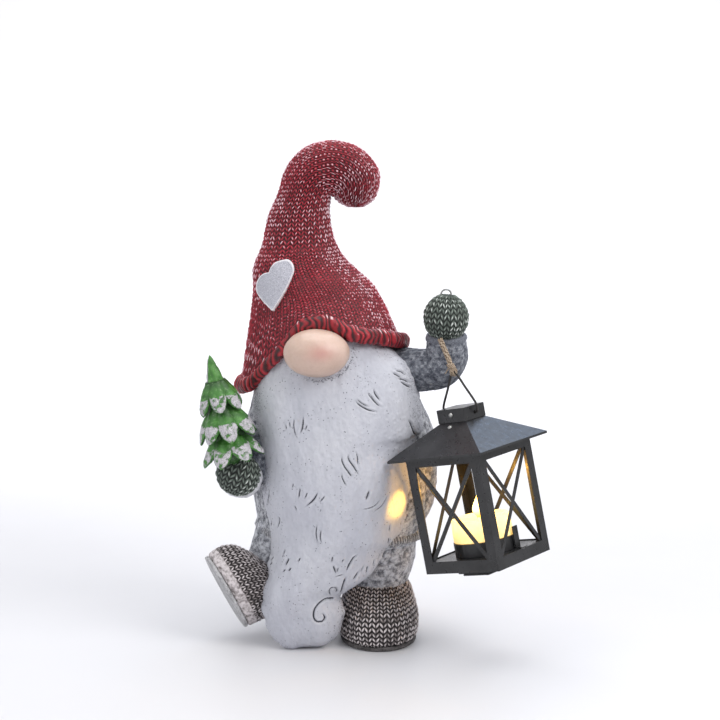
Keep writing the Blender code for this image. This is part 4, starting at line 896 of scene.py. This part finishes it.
knit_ball("mitten_tree_hand", (-80.5, -54.0, 159.5), (19.5, 20.0, 19.5), (0.42, -0.12, 0.9), 18, 5.4, MITTEN_PAINT, ("tree_mitten",), 1.9, 41)
knit_ball("mitten_raised_hand", (99.5, -42.0, 294.2), (19.4, 19.5, 20.6), (0.05, -0.05, 1.0), 20, 5.0, MITTEN_PAINT, ("raised_mitten",), 1.6, 47)


def ring_band(name, centre, normal, radius, thick, wide, paint, count=260, sides=20, rough=0.25, seed=1, body="gnome"):
    """A soft band round a circle."""
    nrm = np.array(normal, float)
    nrm /= np.linalg.norm(nrm)
    s1 = np.cross(nrm, [0.1, 0.2, 1.0])
    s1 /= np.linalg.norm(s1)
    s2 = np.cross(nrm, s1)
    aa, bb = turns(count), turns(sides)
    out_ = np.cos(aa)[:, None] * s1 + np.sin(aa)[:, None] * s2
    g = np.array(centre) + out_[:, None, :] * (radius + thick * np.cos(bb))[None, :, None] + nrm * (wide * np.sin(bb))[None, :, None]
    nn = g - (np.array(centre) + out_[:, None, :] * radius)
    nn /= np.linalg.norm(nn, axis=2, keepdims=True)
    g = g + nn * (rough * noise(g, 2.4, seed) + 1.6 * rough * noise(g, 9.0, seed + 1))[..., None]
    q = np.stack([np.arange(count)[:, None] * sides + np.arange(sides), np.arange(count)[:, None] * sides + (np.arange(sides) + 1) % sides,
                  ((np.arange(count)[:, None] + 1) % count) * sides + (np.arange(sides) + 1) % sides, ((np.arange(count)[:, None] + 1) % count) * sides + np.arange(sides)], -1).reshape(-1, 4)
    v = g.reshape(-1, 3)
    if np.dot(np.cross(v[q[0, 1]] - v[q[0, 0]], v[q[0, 2]] - v[q[0, 0]]), nn.reshape(-1, 3)[q[0, 0]]) < 0:
        q = q[:, ::-1]
    return build(name, v, q.tolist(), paint, body, {"relief_and_shade": np.full(len(v), 0.5)})


ring_band("sleeve_cuff_low", (-80.2, -49.0, 157.6), (-0.32, -0.9, -0.1), 18.9, 2.7, 4.2, CUFF_PAINT, rough=0.3, seed=61)
ring_band("sleeve_cuff_raised", (100.2, -35.2, 276.0), (-0.02, -0.12, 1.0), 16.0, 1.9, 3.0, SLEEVE_PAINT, rough=0.35, seed=63)

# ================================================================ boots
BOOT_ROWS = (
    (0, -27, 31.5, 44), (3, -27, 34.5, 47), (12, -27, 35.5, 48), (22, -26, 35.3, 47), (32, -23.5, 33.5, 43.5),
    (41, -18, 31, 36.5), (48, -12, 29, 30.5), (52, -9.5, 26.5, 27), (54, -9, 22, 22.5),
)
count = 420
rows = eased(BOOT_ROWS, [6, 20, 22, 22, 20, 18, 10, 6])
t = turns(count)
c, s = np.cos(t), np.sin(t)
boot = np.stack([rows[:, 2:3] * (1 + 0.06 * s) * power(c, 0.92), rows[:, 1:2] + rows[:, 3:4] * power(s, 0.92), rows[:, 0:1] * np.ones(count)], -1)
ring = boot[20]
girth = np.concatenate([[0], np.cumsum(np.linalg.norm(np.diff(np.vstack([ring, ring[:1]]), axis=0), axis=1))])
wale_of = (girth[:-1] / girth[-1])[None, :] * 41 * np.ones((boot.shape[0], 1))


def boot_mesh(name, seed, matrix, stands_for, frost_level, band=0.0):
    n = normals_of(boot)
    wob = 0.10 * noise(boot, 12.0, seed)
    b = arc_along(boot) / 5.2 + 0.2 * noise(boot, 15.0, seed + 1)
    h, rnd_ = stitches(wale_of + wob, b, 0.8, 0.6)
    h = h * (0.78 + 0.3 * rnd_)
    knitted = smooth(boot[..., 2], band - 2.5, band + 1.0) if band else np.ones(boot.shape[:2])
    h = h * knitted + (0.66 + 0.12 * noise(boot, 3.0, 7)) * (1 - knitted)
    moved = boot + n * (2.3 * (h - 0.6) + 0.3 * noise(boot, 2.4, seed + 4))[..., None]
    frost = frost_level + 0.4 * (rnd_ - 0.5) + 0.35 * fbm(boot, 18.0, 2, seed + 5) + 0.1 * smooth(boot[..., 2], 20, 50)
    frost = frost * knitted + (1.0 + 0.2 * noise(boot, 2.0, 9)) * (1 - knitted)
    moved = moved @ np.array(matrix.to_3x3()).T + np.array(matrix.translation)
    return skin(name, moved, BOOT_PAINT, "gnome", {"relief_and_shade": np.clip(h, 0, 1), "frost": np.clip(frost, 0, 1)},
                (None, None), stands_for)


SOLE = 4.0
toe = Vector((-0.43, -0.16, 0.887)).normalized()
up = Vector((0.85, 0.27, 0.455))
up = (up - toe * up.dot(toe)).normalized()
across = (-toe).cross(up)
KICK = Matrix((across, -toe, up)).transposed().to_4x4()
KICK.translation = Vector((-80.1, -32.0, 16.9))
KICK = KICK @ Matrix.Diagonal((0.79, 0.79, 0.79, 1.0)) @ Matrix.Translation(Vector((0, -17.5, 0)))
STAND = Matrix.Translation(Vector((41.5, 0, GROUND)))
boot_mesh("boot_standing", 51, STAND @ Matrix.Translation(Vector((0, 0, SOLE + 0.2))) @ Matrix.Diagonal((1, 1, 0.82, 1)), ("standing_boot",), 0.85)
boot_mesh("boot_raised", 57, KICK @ Matrix.Translation(Vector((0, 0, SOLE + 0.2))), ("raised_boot",), 0.8, 12.5)
welt = boot[6] if boot.shape[0] > 6 else boot[0]


def sole_mesh(name, matrix, stands_for, seed, paint):
    outline = boot[6] * np.array([0.985, 1, 0]) + np.array([0, 0, 0])
    outline[:, 1] = -27 + (outline[:, 1] + 27) * 0.985
    profile = ((0.96, 0.0), (0.985, 0.25), (0.998, 0.9), (1.0, 1.8), (1.0, 2.7), (0.996, 3.4), (0.985, 3.85), (0.95, 4.0))
    profile = eased(np.array(profile), 4)
    rings = []
    for scale, z_ in profile:
        ring_ = outline.copy()
        ring_[:, 0] *= scale
        ring_[:, 1] = -27 + (ring_[:, 1] + 27) * scale
        ring_[:, 2] = z_
        rings.append(ring_)
    g = np.array(rings)
    n = normals_of(g)
    soft = 0.5 + 0.5 * fbm(g, (5.0, 5.0, 2.0), 2, seed)
    g = g + n * (0.5 * (soft - 0.6))[..., None]
    g[..., 2] = np.clip(g[..., 2], 0.02, 4.0)
    g = g @ np.array(matrix.to_3x3()).T + np.array(matrix.translation)
    return skin(name, g, paint, "gnome", {"relief_and_shade": soft}, (None, None), stands_for)


# The standing sole takes the darker copy: painted shade where the boot meets the floor
sole_mesh("sole_standing", STAND, ("standing_sole",), 71, STANDING_SOLE_SHADE_PAINT)
sole_mesh("sole_raised", KICK, ("raised_sole",), 75, SOLE_PAINT)

# ================================================================ the fir tree
TREE_FOOT, TREE_TIP = np.array([-83.0, -61.0, 168.0]), np.array([-104.5, -61.0, 265.0])
axis = (TREE_TIP - TREE_FOOT) / np.linalg.norm(TREE_TIP - TREE_FOOT)
tree_side = np.cross([0, -1.0, 0], axis)
tree_side /= np.linalg.norm(tree_side)
tree_front = np.cross(axis, tree_side)


def on_tree(r, a_, h_):
    r, a_, h_ = np.broadcast_arrays(np.asarray(r, float), a_, h_)
    return (TREE_FOOT + axis * h_[..., None] + tree_side * (r * np.cos(a_))[..., None] + tree_front * (r * np.sin(a_))[..., None])


verts, faces, snow, relief_and_shade = [], [], [], []


def add_grid(g, snow_v, relief_and_shade_v):
    first = sum(len(v) for v in verts)
    rows_, cols_ = g.shape[:2]
    n = normals_of(g)
    quads = np.array(grid_faces(rows_, cols_))
    flat = g.reshape(-1, 3)
    k = len(quads) // 2
    if np.dot(np.cross(flat[quads[k, 1]] - flat[quads[k, 0]], flat[quads[k, 2]] - flat[quads[k, 0]]), n.reshape(-1, 3)[quads[k, 0]]) < 0:
        quads = quads[:, ::-1]
    faces.extend((quads + first).tolist())
    low_cap, high_cap = list(range(cols_)), [(rows_ - 1) * cols_ + q for q in range(cols_)]
    faces.append([first + q for q in low_cap])
    faces.append([first + q for q in high_cap[::-1]])
    verts.append(flat)
    snow.append(np.asarray(snow_v, float).reshape(-1))
    relief_and_shade.append(np.asarray(relief_and_shade_v, float).reshape(-1))


core = eased(((6.5, -8.0), (9.0, 3.0), (14.0, 10.0), (14.5, 22.0), (12.5, 36.0), (11.0, 50.0), (9.8, 62.0), (8.0, 72.0), (5.6, 83.0), (2.8, 93.0), (0.5, 98.3)), 12)
a = turns(90)
ridge = 1 + 0.07 * np.cos(7 * a[None, :] + 0.6 * np.sin(core[:, 1:2] / 6.0))
g = on_tree(core[:, 0:1] * ridge, a[None, :], core[:, 1:2] * np.ones((1, 90)))
g = g + normals_of(g) * (0.5 * fbm(g, 3.5, 2, 4))[..., None]
side_snow = smooth(np.cos(a), 0.55, 0.95)[None, :] * 0.62 * np.ones((len(core), 1)) + 0.12 * noise(g, 5.0, 8)
# Painted shade: the trunk's value drops below the lowest branches, so it is painted darker there
add_grid(g, np.clip(side_snow * smooth(core[:, 1:2], 55, 75), 0, 1), 0.25 + 0.75 * smooth(core[:, 1:2], 50, 66) * np.ones((1, 90)))

LEAVES = []
for tier, (leaf_count, r0, h0, r1, h1, wide, turn) in enumerate((
        (7, 8.0, 33.0, 26.5, 3.5, 10.8, 0.35), (7, 9.0, 55.0, 24.5, 24.0, 10.0, 0.0), (6, 7.0, 76.0, 18.5, 49.0, 8.4, 0.5))):
    for k in range(leaf_count):
        LEAVES.append((tier, k, 2 * math.pi * (k + turn) / leaf_count, r0, h0, r1, h1, wide))
for tier, k, at_angle, r0, h0, r1, h1, wide in LEAVES:
    seed = tier * 13 + k
    jig = hashed(np.array([tier]), np.array([k]), np.array([3]), 77)[0] - 0.5
    jag = hashed(np.array([tier]), np.array([k]), np.array([9]), 78)[0] - 0.5
    u = np.linspace(0.0, 1.0, 34)
    r = r0 + (r1 - r0) * (1 + 0.08 * jig) * (u ** 1.15) + 2.6 * np.sin(np.pi * u)
    h_ = h0 + (h1 - h0 + 3.0 * jag) * (u ** 0.92)
    width_ = wide * (1 + 0.12 * jig) * np.sin(np.pi * (0.16 + 0.81 * u)) ** 0.62
    width_[-5:] *= np.array([0.95, 0.86, 0.72, 0.5, 0.16])
    thick_ = 2.6 * (0.5 + 0.7 * np.sin(np.pi * (0.1 + 0.82 * u)))
    thick_[-4:] *= np.array([0.95, 0.85, 0.62, 0.25])
    bb = turns(30)
    spread = width_[:, None] * np.cos(bb)[None, :]
    lift_ = thick_[:, None] * np.sin(bb)[None, :] - 0.018 * spread ** 2
    lip_ = 0.9 * smooth(np.abs(np.cos(bb)), 0.8, 0.98)[None, :] * np.ones_like(spread)
    rr = r[:, None] + lift_ + 0.5 * lip_
    aa = at_angle + 0.10 * jag + spread / np.maximum(rr, 7.0)
    g = on_tree(rr, aa, h_[:, None] * np.ones((1, 30)))
    n = normals_of(g)
    g = g + n * (0.55 * fbm(g, 3.2, 2, seed) + 0.25 * np.cos(bb * 1)[None, :] * 0)[..., None]
    outer = smooth(np.sin(bb), 0.05, 0.5)[None, :]
    patch = smooth(u, 0.34, 0.55)[:, None] * (1 - smooth(u, 0.93, 0.985))[:, None]
    amount = outer * patch * (1 - 0.75 * lip_) * (0.60 + 0.55 * fbm(g, 3.6, 2, seed + 90))
    amount = amount + 0.25 * outer * smooth(u, 0.1, 0.4)[:, None] * (noise(g, 2.2, 5) > 0.3)
    # Painted shade: the branch undersides and their roots by the trunk get a low value and are painted darker
    shade_ = 0.25 + 0.75 * smooth(np.sin(bb), -0.5, 0.1)[None, :] * smooth(u, 0.02, 0.3)[:, None]
    add_grid(g, np.clip(amount, 0, 1), shade_)
build("fir_branches", np.vstack(verts), faces, TREE_PAINT, "gnome",
      {"snow": np.concatenate(snow), "relief_and_shade": np.concatenate(relief_and_shade)}, ("fir_tree",))

# ================================================================ the lantern's own frame
LAN_LEAN, LAN_LEAN_TO, LAN_YAW = 11.84, -26.5, -39.2
lean_to = Vector((math.cos(math.radians(LAN_LEAN_TO)), math.sin(math.radians(LAN_LEAN_TO)), 0))
LAN = Matrix.Rotation(math.radians(LAN_LEAN), 4, Vector((lean_to.y, -lean_to.x, 0))) @ Matrix.Rotation(math.radians(LAN_YAW), 4, "Z")
LAN.translation = Vector((135.6, -82.6, 87.4))
LAN_R, LAN_T = np.array(LAN.to_3x3()), np.array(LAN.translation)


def lan(points):
    return np.asarray(points, float) @ LAN_R.T + LAN_T


LAN_HEIGHT, ROOF_RISE, COLLAR_SIDE, COLLAR_HEIGHT = 99.5, 23.4, 29.2, 12.6
HOLE = LAN_HEIGHT + 1.9 + ROOF_RISE + COLLAR_HEIGHT * 0.45
APEX = HOLE + 36.0
PIVOT = np.array([93.3, -56.4, 278.6])
half_collar = COLLAR_SIDE / 2
shape = [(-half_collar + 2.2, HOLE), (-half_collar - 1.2, HOLE), (-half_collar - 3.0, HOLE + 1.2), (-half_collar - 3.2, HOLE + 4.0),
         (-half_collar - 2.2, HOLE + 9), (-9.2, HOLE + 22.5), (-3.4, HOLE + 33.4), (-1.6, HOLE + 35.4), (0, APEX)]
shape += [(-x, z_) for x, z_ in shape[-2::-1]]
wire = eased(np.array([(x, 0.0, z_) for x, z_ in shape]), 8)
table = np.hstack([lan(wire), np.full((len(wire), 1), 1.0)])
bail = tube_grid(table, 1, 20)
bail = bail + normals_of(bail) * (0.05 * noise(bail, 1.6, 2))[..., None]
skin("bail_wire", bail, WIRE_PAINT, "hanger", None, (None, None), ("lantern_bail",))

# The twine: two strands laid round each other, looped under the bail's bend and knotted
top = lan([0, 0, APEX])
loop_out = (top - PIVOT) / np.linalg.norm(top - PIVOT)
verts, faces, snow, relief_and_shade = [], [], [], []
side_l = lan([1, 0, 0]) - lan([0, 0, 0])
front_l = lan([0, 1, 0]) - lan([0, 0, 0])


def strand_tube(spine, radius, colour_seed, twist_turns=0.0, start=0.0, offset=0.0):
    """A fibrous strand laid round a spine at the offset, with its own ridges."""
    spine = np.asarray(spine, float)
    ahead = np.gradient(spine, axis=0)
    ahead /= np.linalg.norm(ahead, axis=1, keepdims=True)
    side = np.cross(ahead[0], [0.2, 0.9, 0.1])
    side /= np.linalg.norm(side)
    n_ = len(spine)
    centres = np.zeros_like(spine)
    for q in range(n_):
        side = side - ahead[q] * side.dot(ahead[q])
        side /= np.linalg.norm(side)
        o_ = np.cross(ahead[q], side)
        ang = start + 2 * np.pi * twist_turns * q / (n_ - 1)
        centres[q] = spine[q] + offset * (math.cos(ang) * side + math.sin(ang) * o_)
    rad = np.full(n_, radius) if np.isscalar(radius) else np.asarray(radius)
    g = tube_grid(np.hstack([centres, rad[:, None]]), 1, 18)
    a18 = np.broadcast_to(turns(18), g.shape[:2])
    run = arc_along(g)
    ridges = 0.5 + 0.5 * np.cos(4 * a18 + run * 2.1 + colour_seed)
    g = g + normals_of(g) * (0.3 * (ridges - 0.5) + 0.22 * noise(g, 0.8, colour_seed))[..., None]
    add_grid(g, 0 * ridges, np.clip(0.25 + 0.75 * ridges, 0, 1))


line = PIVOT[None, :] + (top - PIVOT)[None, :] * np.linspace(0.045, 0.97, 110)[:, None]
line = line + 0.35 * np.stack([noise(line, 9.0, 1), noise(line, 9.0, 2), noise(line, 9.0, 3)], -1)
for k in range(3):
    strand_tube(line, 1.15, 20 + k, 4.6, 2 * math.pi * k / 3, 1.15)
loop_a = turns(60)
loop = [top + (front_l * math.cos(q) + (lan([0, 0, 1]) - lan([0, 0, 0])) * math.sin(q)) * 2.7 for q in np.linspace(0, 2 * math.pi * 1.02, 60)]
for k in range(2):
    strand_tube(np.array(loop) + side_l * (0.9 * (k - 0.5) * 2), 0.95, 31 + k, 1.5, math.pi * k, 0.25)
knot_at = PIVOT + (top - PIVOT) * 0.83
for k in range(3):
    ring_pts = [knot_at + loop_out * (1.3 * (k - 1) + 0.35 * math.sin(q)) + (side_l * math.cos(q) + np.cross(loop_out, side_l) * math.sin(q)) * 2.5 for q in np.linspace(0, 2 * math.pi * 1.02, 48)]
    strand_tube(ring_pts, 0.85, 41 + k, 1.0, k, 0.2)
for k, (dx, dz, length) in enumerate(((-1.0, -0.55, 6.5), (0.9, -0.75, 7.5), (0.2, -1.0, 5.0))):
    d = side_l * dx + np.array([0, -0.35, dz])
    d /= np.linalg.norm(d)
    q = np.linspace(0, 1, 26)[:, None]
    tail = knot_at + d * (1.0 + q * length) + np.array([0, 0, -1.0]) * (q ** 2) * 1.6
    strand_tube(tail, np.linspace(0.75, 0.28, 26), 51 + k, 1.2, k, 0.15)
build("twine_laid", np.vstack(verts), faces, TWINE_PAINT, "hanger", {"relief_and_shade": np.concatenate(relief_and_shade)}, ("hanging_twine",))

# ================================================================ candle and flame
FLOOR_Z = 10.5 - 0.9
base_z = FLOOR_Z + 0.3
shell_z = base_z + 11.5 + 0.3
profile = ((25.6, 0.0), (26.0, 0.6), (26.0, 4.0), (25.9, 9.0), (25.6, 14.0), (25.3, 17.6), (25.0, 18.6), (24.0, 19.2), (22.6, 18.8), (20.5, 17.4),
           (15.0, 16.6), (9.0, 16.5), (4.5, 16.9), (3.4, 17.0))
rows = eased(np.array(profile), [3, 8, 10, 10, 8, 5, 5, 5, 6, 8, 8, 6, 3])
a = turns(150)
wave = 1 + 0.010 * np.sin(3 * a + 0.7) + 0.006 * np.sin(7 * a)
rim_wave = smooth(rows[:, 1:2], 14, 19) * (0.5 * np.sin(2 * a + 0.5) + 0.45 * np.sin(5 * a + 1.1))[None, :]
g = np.stack([rows[:, 0:1] * wave * np.cos(a), rows[:, 0:1] * wave * np.sin(a), shell_z + rows[:, 1:2] + rim_wave * (rows[:, 0:1] > 20)], -1)
g = g + normals_of(g) * (0.18 * noise(g, 5.0, 3))[..., None]
glow = np.clip(0.35 + 0.65 * smooth(rows[:, 1:2], 2, 17) * np.ones((1, 150)), 0, 1)
skin("candle_wax", lan(g), WAX_PAINT, "lantern", {"glow": glow}, (lan([0, 0, shell_z]), lan([0, 0, shell_z + 16.9])), ("candle_shell",))
flame_z = shell_z + 19.0 + 0.3
rows = eased(np.array(((2.6, -2.2), (3.4, 0.0), (5.2, 2.4), (6.0, 5.4), (5.2, 8.8), (3.4, 12.4), (1.7, 15.4), (0.5, 17.6))), 8)
a = turns(48)
lean_f = 0.6 * (rows[:, 1:2] / 17.0) ** 2
g = np.stack([rows[:, 0:1] * np.cos(a) + lean_f, rows[:, 0:1] * 0.8 * np.sin(a) * np.ones_like(rows[:, 0:1]), flame_z + rows[:, 1:2] * np.ones((1, 48))], -1)
skin("flame_tip", lan(g), FLAME_PAINT, "lantern", {"height": np.clip(rows[:, 1:2] / 17.6, 0, 1) * np.ones((1, 48))}, (None, None), ("flame",))

# Lantern sheet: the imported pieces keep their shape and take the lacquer
ASSIGN = {
    "lantern_frame": LACQUER, "brace_front_left": LACQUER, "brace_front_right": LACQUER, "brace_back_right": LACQUER, "brace_back_left": LACQUER,
    "lantern_floor": LACQUER, "lantern_roof": LACQUER, "lantern_collar": LACQUER, "retaining_clip": LACQUER, "candle_base": BLACK_PLASTIC,
    "battery_box": BLACK_PLASTIC, "battery_cover": BLACK_PLASTIC, "switch_slider": KNOB_PAINT, "circuit_board": BOARD_PAINT, "led": LED_PAINT,
    "coin_cell_low": CELL_PAINT, "coin_cell_top": CELL_PAINT, "collar_rivet": STEEL_PAINT, "roof_rivet": STEEL_PAINT, "mitten_eye": STEEL_PAINT,
}
for name, paint in ASSIGN.items():
    mesh = frame["nodes"][name].data
    mesh.materials.clear()
    mesh.materials.append(paint)

# ================================================================ studio
PX = ORIGIN * 0.001


def stage_floor():
    xs = np.linspace(-5.0, 5.0, 41)
    profile_ = [(-4.0, 0.0)] + [(y, 0.0) for y in np.linspace(-3.0, 2.0, 21)]
    for k in range(1, 25):
        q = k / 24 * math.pi / 2
        profile_.append((2.0 + 1.6 * math.sin(q), 1.6 * (1 - math.cos(q))))
    profile_ += [(3.6, 2.4), (3.6, 5.0)]
    v = [(x, y, z_ - 0.0002) for y, z_ in profile_ for x in xs]
    f_ = []
    for r_ in range(len(profile_) - 1):
        for q in range(len(xs) - 1):
            b_ = r_ * len(xs) + q
            f_.append((b_, b_ + 1, b_ + 1 + len(xs), b_ + len(xs)))
    mesh = bpy.data.meshes.new("studio_floor")
    mesh.from_pydata(v, [], f_)
    mesh.shade_smooth()
    obj = bpy.data.objects.new("studio_floor", mesh)
    bpy.context.scene.collection.objects.link(obj)
    p = Paint("studio_paper")
    tone = p.ramp(p.noise(3.0, 3.0), [(0.3, (0.675, 0.67, 0.69)), (0.7, (0.69, 0.685, 0.705))])
    p.done(tone, p.ramp(p.noise(9.0, 2.0), [(0.3, 0.42), (0.7, 0.5)]), p.bump(p.noise(900.0, 2.0), 0.02, 0.0002))
    mesh.materials.append(p.material)


stage_floor()


def softbox(name, at, to, size, power_, colour=(1, 1, 1)):
    lamp = bpy.data.lights.new(name, "AREA")
    lamp.shape = "RECTANGLE"
    lamp.size, lamp.size_y = size
    lamp.energy = power_
    lamp.color = colour
    obj = bpy.data.objects.new(name, lamp)
    obj.location = at
    obj.rotation_euler = (Vector(to) - Vector(at)).to_track_quat("-Z", "Y").to_euler()
    bpy.context.scene.collection.objects.link(obj)
    return obj


softbox("key_right", (1.5, -1.1, 1.7), (0, 0, 0.22), (1.3, 1.3), 30.0, (1.0, 0.99, 0.98))
softbox("fill_left", (-1.9, -1.3, 1.2), (0, 0, 0.22), (1.6, 1.6), 13.0, (0.96, 0.98, 1.0))
softbox("overhead", (0.0, 0.4, 2.2), (0, 0, 0.2), (2.2, 2.2), 36.0, (0.98, 0.99, 1.0))
softbox("roof_sheen", (0.72, 1.65, 1.5), (0.1, -0.05, 0.2), (0.8, 0.8), 3.4, (0.45, 0.66, 1.0))
softbox("back_wash", (0.0, 1.2, 1.9), (0, 3.2, 1.0), (3.0, 1.0), 60.0)
world = bpy.data.worlds.new("studio") if bpy.context.scene.world is None else bpy.context.scene.world
bpy.context.scene.world = world
world.use_nodes = True
world.node_tree.nodes["Background"].inputs[0].default_value = (0.97, 0.98, 1.0, 1.0)
world.node_tree.nodes["Background"].inputs[1].default_value = 0.55

glow = bpy.data.lights.new("flame_light", "POINT")
glow.energy = 0.10
glow.color = (1.0, 0.5, 0.08)
glow.shadow_soft_size = 0.006
lamp = bpy.data.objects.new("flame_light", glow)
lamp.location = Vector((lan([0, 0, flame_z + 26.0]) + ORIGIN) * 0.001)
bpy.context.scene.collection.objects.link(lamp)
lamp.parent = frame["bodies"]["lantern"]

# The part of the flame's light that falls on the beard's flank through the pane
beam = bpy.data.lights.new("flame_on_beard", "SPOT")
beam.energy = 1.0
beam.color = (1.0, 0.55, 0.06)
beam.spot_size = math.radians(23.0)
beam.spot_blend = 0.9
beam.shadow_soft_size = 0.004
from_at = (lan([0, 0, flame_z + 22.0]) + ORIGIN) * 0.001
to_at = (np.array([65.0, -64.0, 135.0]) + ORIGIN) * 0.001
lamp = bpy.data.objects.new("flame_on_beard", beam)
turned = Vector(to_at - from_at).to_track_quat("-Z", "Y").to_matrix().to_4x4()
turned.translation = Vector(from_at)
bpy.context.scene.collection.objects.link(lamp)
lamp.parent = frame["bodies"]["lantern"]
lamp.matrix_basis = turned

camera = bpy.data.cameras.new("camera")
camera.lens = 89.6
camera.sensor_width = 36.0
camera.clip_end = 50.0
view = bpy.data.objects.new("camera", camera)
view.location = (-0.0112, -1.5511, 0.4751)
view.rotation_euler = (math.radians(81.8), 0, 0)
bpy.context.scene.collection.objects.link(view)
bpy.context.scene.camera = view
bpy.context.scene.view_settings.view_transform = "Standard"
bpy.context.scene.view_settings.look = "None"
